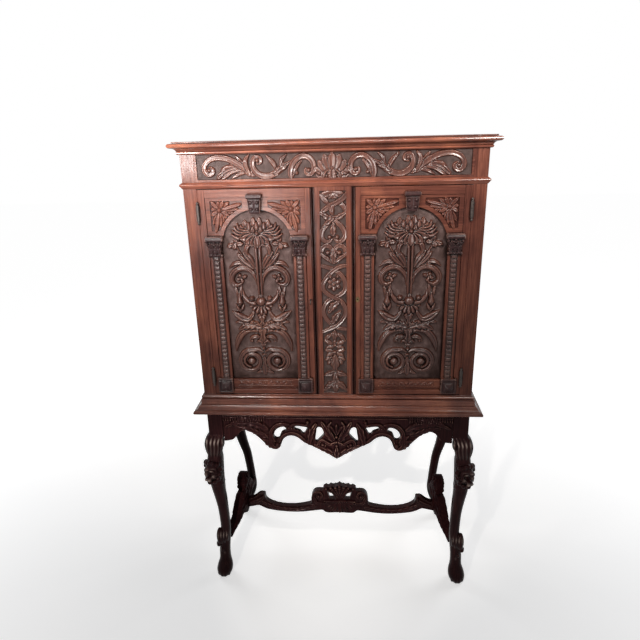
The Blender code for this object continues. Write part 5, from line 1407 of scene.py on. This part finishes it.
def middle_relief(p):
    r = Relief(-408, 408, 150, 312, p, mirror=True)
    stroke, leaf, ball = r.stroke, r.leaf, r.ball
    # leafage running out along the arms
    leaf([(112, 190, 8, 4), (160, 178, 11, 6), (215, 174, 11, 6), (270, 180, 11, 6), (318, 198, 9, 6),
          (340, 212, 4, 4)], 9)
    # shell on the block
    for a in (-90, -64, -40, -18):
        petal(r, 0, 228, a, 12, 66 if a == -90 else 64, 10, 8, "cup", flip=(a != -90))
    stroke([(0, 222, 5, 8), (34, 223, 5, 8), (66, 221, 4, 7)], "round")
    # volutes
    r.spiral([(70, 208, 5, 6), (100, 212, 7, 8)], (92, 248), 25, 5, -50, 1.35, 7, 4, 8, 9, "cove", eye=7)
    # pierced crest
    for a in (90, 72, 55, 40):
        petal(r, 0, 236, a, 14, 70 if a > 60 else 66, 7.5, 8, flip=(a != 90))
    for u, v in ((0, 297), (18, 292), (38, 290), (58, 286)):
        ball(u, v, 7, 9)
    # end scrolls
    stroke([(390, 206, 6, 5), (366, 214, 9, 7), (346, 226, 9, 8), (334, 240, 6, 8)], "cove")
    ball(334, 240, 8, 9)
    return r


def side_relief(p):
    r = Relief(-210, 210, 150, 356, p, mirror=True)
    leaf, ball = r.leaf, r.ball
    leaf([(34, 204, 8, 5), (74, 216, 12, 7), (110, 206, 12, 7), (150, 192, 8, 6), (184, 180, 4, 4)], 6)
    leaf([(20, 272, 5, 5), (50, 272, 9, 7), (84, 250, 8, 7), (112, 226, 4, 5)], 3)
    leaf([(0, 176, 7, 5), (0, 212, 16, 8), (0, 246, 12, 8), (0, 276, 5, 7)], 3, flip=False)
    for a in (90, 62, 36, 12):
        petal(r, 0, 292, a, 6, 54 if a > 50 else 40, 9, 7, flip=(a != 90))
    ball(0, 296, 9, 9)
    return r


def press(mesh, r, axis, middle, both, depth, sink, flat=0.4):
    """Pushes the drawing into the faces that look along the axis, both ways or towards the front only."""
    co, no = points_of(mesh), normals_of(mesh)
    a = no[:, axis]
    w = np.clip((np.abs(a) - flat) / 0.3, 0, 1)
    if not both:
        w = np.where(a < 0, w, 0)
    u = (co[:, 1 - axis] - middle) * 1000
    h = sampled(r, u, co[:, 2] * 1000)
    f = w * (np.maximum(h, EMPTY) * depth - sink) / 1000
    co[:, axis] += np.sign(a) * f
    set_points(mesh, co)
    ease(mesh, 1, 0.3)


STAND_PITCH = 1.6
STAND_VOXEL = 0.0016
SIDE_MIDDLE_Y = 0.0306


def stand():
    for side, s in SIDES:
        front_leg(side, s)
        back_leg(side, s)
    for name, drawing, both, depth, sink, thin in (
            ("apron_front", apron_relief, False, 1.25, 3.0, 0.4),
            ("stretcher_middle", middle_relief, True, 1.2, 2.6, 0.42)):
        mesh = fuse(name, [node_shell(name)], STAND_VOXEL)
        press(mesh, drawing(STAND_PITCH), 1, 0.0, both, depth, sink)
        show(name + "_carved", mesh, "case", LION, (name,), thin)
    for side, _ in SIDES:
        name = "stretcher_side_" + side
        mesh = fuse(name, [node_shell(name)], STAND_VOXEL)
        press(mesh, side_relief(STAND_PITCH), 0, SIDE_MIDDLE_Y, True, 0.7, -4.0, 0.2)
        ease(mesh, 2)
        show(name + "_carved", mesh, "case", STRETCHER, (name,), 0.5)


stand()


# Stage: pale floor, white backdrop, soft lamps
FLOOR_HALF, FLOOR_TONE = 14.0, (0.80, 0.79, 0.78, 1.0)
GLOW_FROM, GLOW_TO = 0.5, 3.2
GLOW_NEAR, GLOW_FAR = 0.58, 0.96
AMBIENT, AMBIENT_TONE = 0.04, (0.96, 0.98, 1.0, 1.0)
WHITE = (1.0, 1.0, 1.0, 1.0)
WARM, COOL, PLAIN = (1.0, 0.95, 0.89), (0.95, 0.97, 1.0), (1.0, 0.97, 0.95)
LAMPS = (
    ("key", (-0.30, -0.95, 2.16), (-0.2, -0.2, 1.68), (1.1, 0.07), 80, 6.4, WARM),
    ("side", (-0.67, -0.82, 1.67), (-0.35, -0.2, 1.64), (0.15, 0.15), 104, 4.0, PLAIN),
    ("sheen", (-0.435, -1.2, 1.29), (-0.25, -0.2, 1.47), (0.26, 0.26), 72, 2.1, PLAIN),
    ("glare", (-0.40, -1.23, 1.56), (-0.22, -0.2, 1.62), (0.50, 0.13), 72, 0.7, WARM),
    ("right", (0.75, -1.1, 2.05), (0.42, -0.2, 1.72), (0.3, 0.3), 74, 4.2, WARM),
    ("low", (-0.7, -2.3, 1.0), (0.0, 0.0, 0.52), (0.05, 0.05), 38, 3.0, WARM),
    ("rear_left", (-2.3, 1.7, 2.1), (0.0, 0.1, 0.9), (1.4, 1.4), 180, 24.0, COOL),
    ("rear_right", (2.3, 1.3, 2.0), (0.0, 0.1, 0.9), (1.4, 1.4), 180, 24.0, COOL),
)


def seen_directly(m):
    """1 for a ray from the camera or off a shiny or clear surface."""
    path = m.node("ShaderNodeLightPath")
    last = path.outputs["Is Camera Ray"]
    for name in ("Is Glossy Ray", "Is Transmission Ray"):
        top = m.node("ShaderNodeMath", operation="MAXIMUM")
        m.link(last, top.inputs[0])
        m.link(path.outputs[name], top.inputs[1])
        last = top.outputs[0]
    return last


def floor_material():
    """Plain pale floor with a glow that fades it into the backdrop."""
    mat = bpy.data.materials.new("pale_floor")
    m = Nodes(mat)
    m.t.nodes.clear()
    out = m.node("ShaderNodeOutputMaterial")
    diffuse = m.node("ShaderNodeBsdfDiffuse", Color=FLOOR_TONE)
    glow = m.node("ShaderNodeEmission")
    reach = m.node("ShaderNodeVectorMath", operation="LENGTH")
    m.link(m.node("ShaderNodeTexCoord").outputs["Object"], reach.inputs[0])
    fade = m.node("ShaderNodeMapRange", interpolation_type="SMOOTHSTEP")
    for key, value in (("From Min", GLOW_FROM), ("From Max", GLOW_TO), ("To Min", GLOW_NEAR),
                       ("To Max", GLOW_FAR)):
        fade.inputs[key].default_value = value
    m.link(reach.outputs["Value"], fade.inputs["Value"])
    gain = m.node("ShaderNodeMath", operation="MULTIPLY")
    m.link(seen_directly(m), gain.inputs[0])
    m.link(fade.outputs["Result"], gain.inputs[1])
    m.link(gain.outputs[0], glow.inputs["Strength"])
    both = m.node("ShaderNodeAddShader")
    m.link(diffuse.outputs[0], both.inputs[0])
    m.link(glow.outputs[0], both.inputs[1])
    m.link(both.outputs[0], out.inputs["Surface"])
    return mat


def stage():
    bm = bmesh.new()
    bmesh.ops.create_grid(bm, x_segments=1, y_segments=1, size=FLOOR_HALF)
    mesh = bpy.data.meshes.new("floor")
    bm.to_mesh(mesh)
    bm.free()
    floor = bpy.data.objects.new("floor", mesh)
    scene.collection.objects.link(floor)
    mesh.materials.append(floor_material())

    world = bpy.data.worlds.new("studio")
    scene.world = world
    m = Nodes(world)
    m.t.nodes.clear()
    out = m.node("ShaderNodeOutputWorld")
    soft = m.node("ShaderNodeBackground", Color=AMBIENT_TONE, Strength=AMBIENT)
    white = m.node("ShaderNodeBackground", Color=WHITE, Strength=1.0)
    pick = m.node("ShaderNodeMixShader")
    m.link(seen_directly(m), pick.inputs[0])
    m.link(soft.outputs[0], pick.inputs[1])
    m.link(white.outputs[0], pick.inputs[2])
    m.link(pick.outputs[0], out.inputs["Surface"])

    for name, place, aim, size, spread, power, colour in LAMPS:
        data = bpy.data.lights.new(name, "AREA")
        data.shape = "RECTANGLE"
        data.size, data.size_y = size
        data.spread = math.radians(spread)
        data.energy = power
        data.color = colour
        lamp = bpy.data.objects.new(name, data)
        lamp.location = place
        lamp.visible_camera = False
        lamp.rotation_euler = (Vector(aim) - Vector(place)).to_track_quat("-Z", "Y").to_euler()
        scene.collection.objects.link(lamp)


stage()
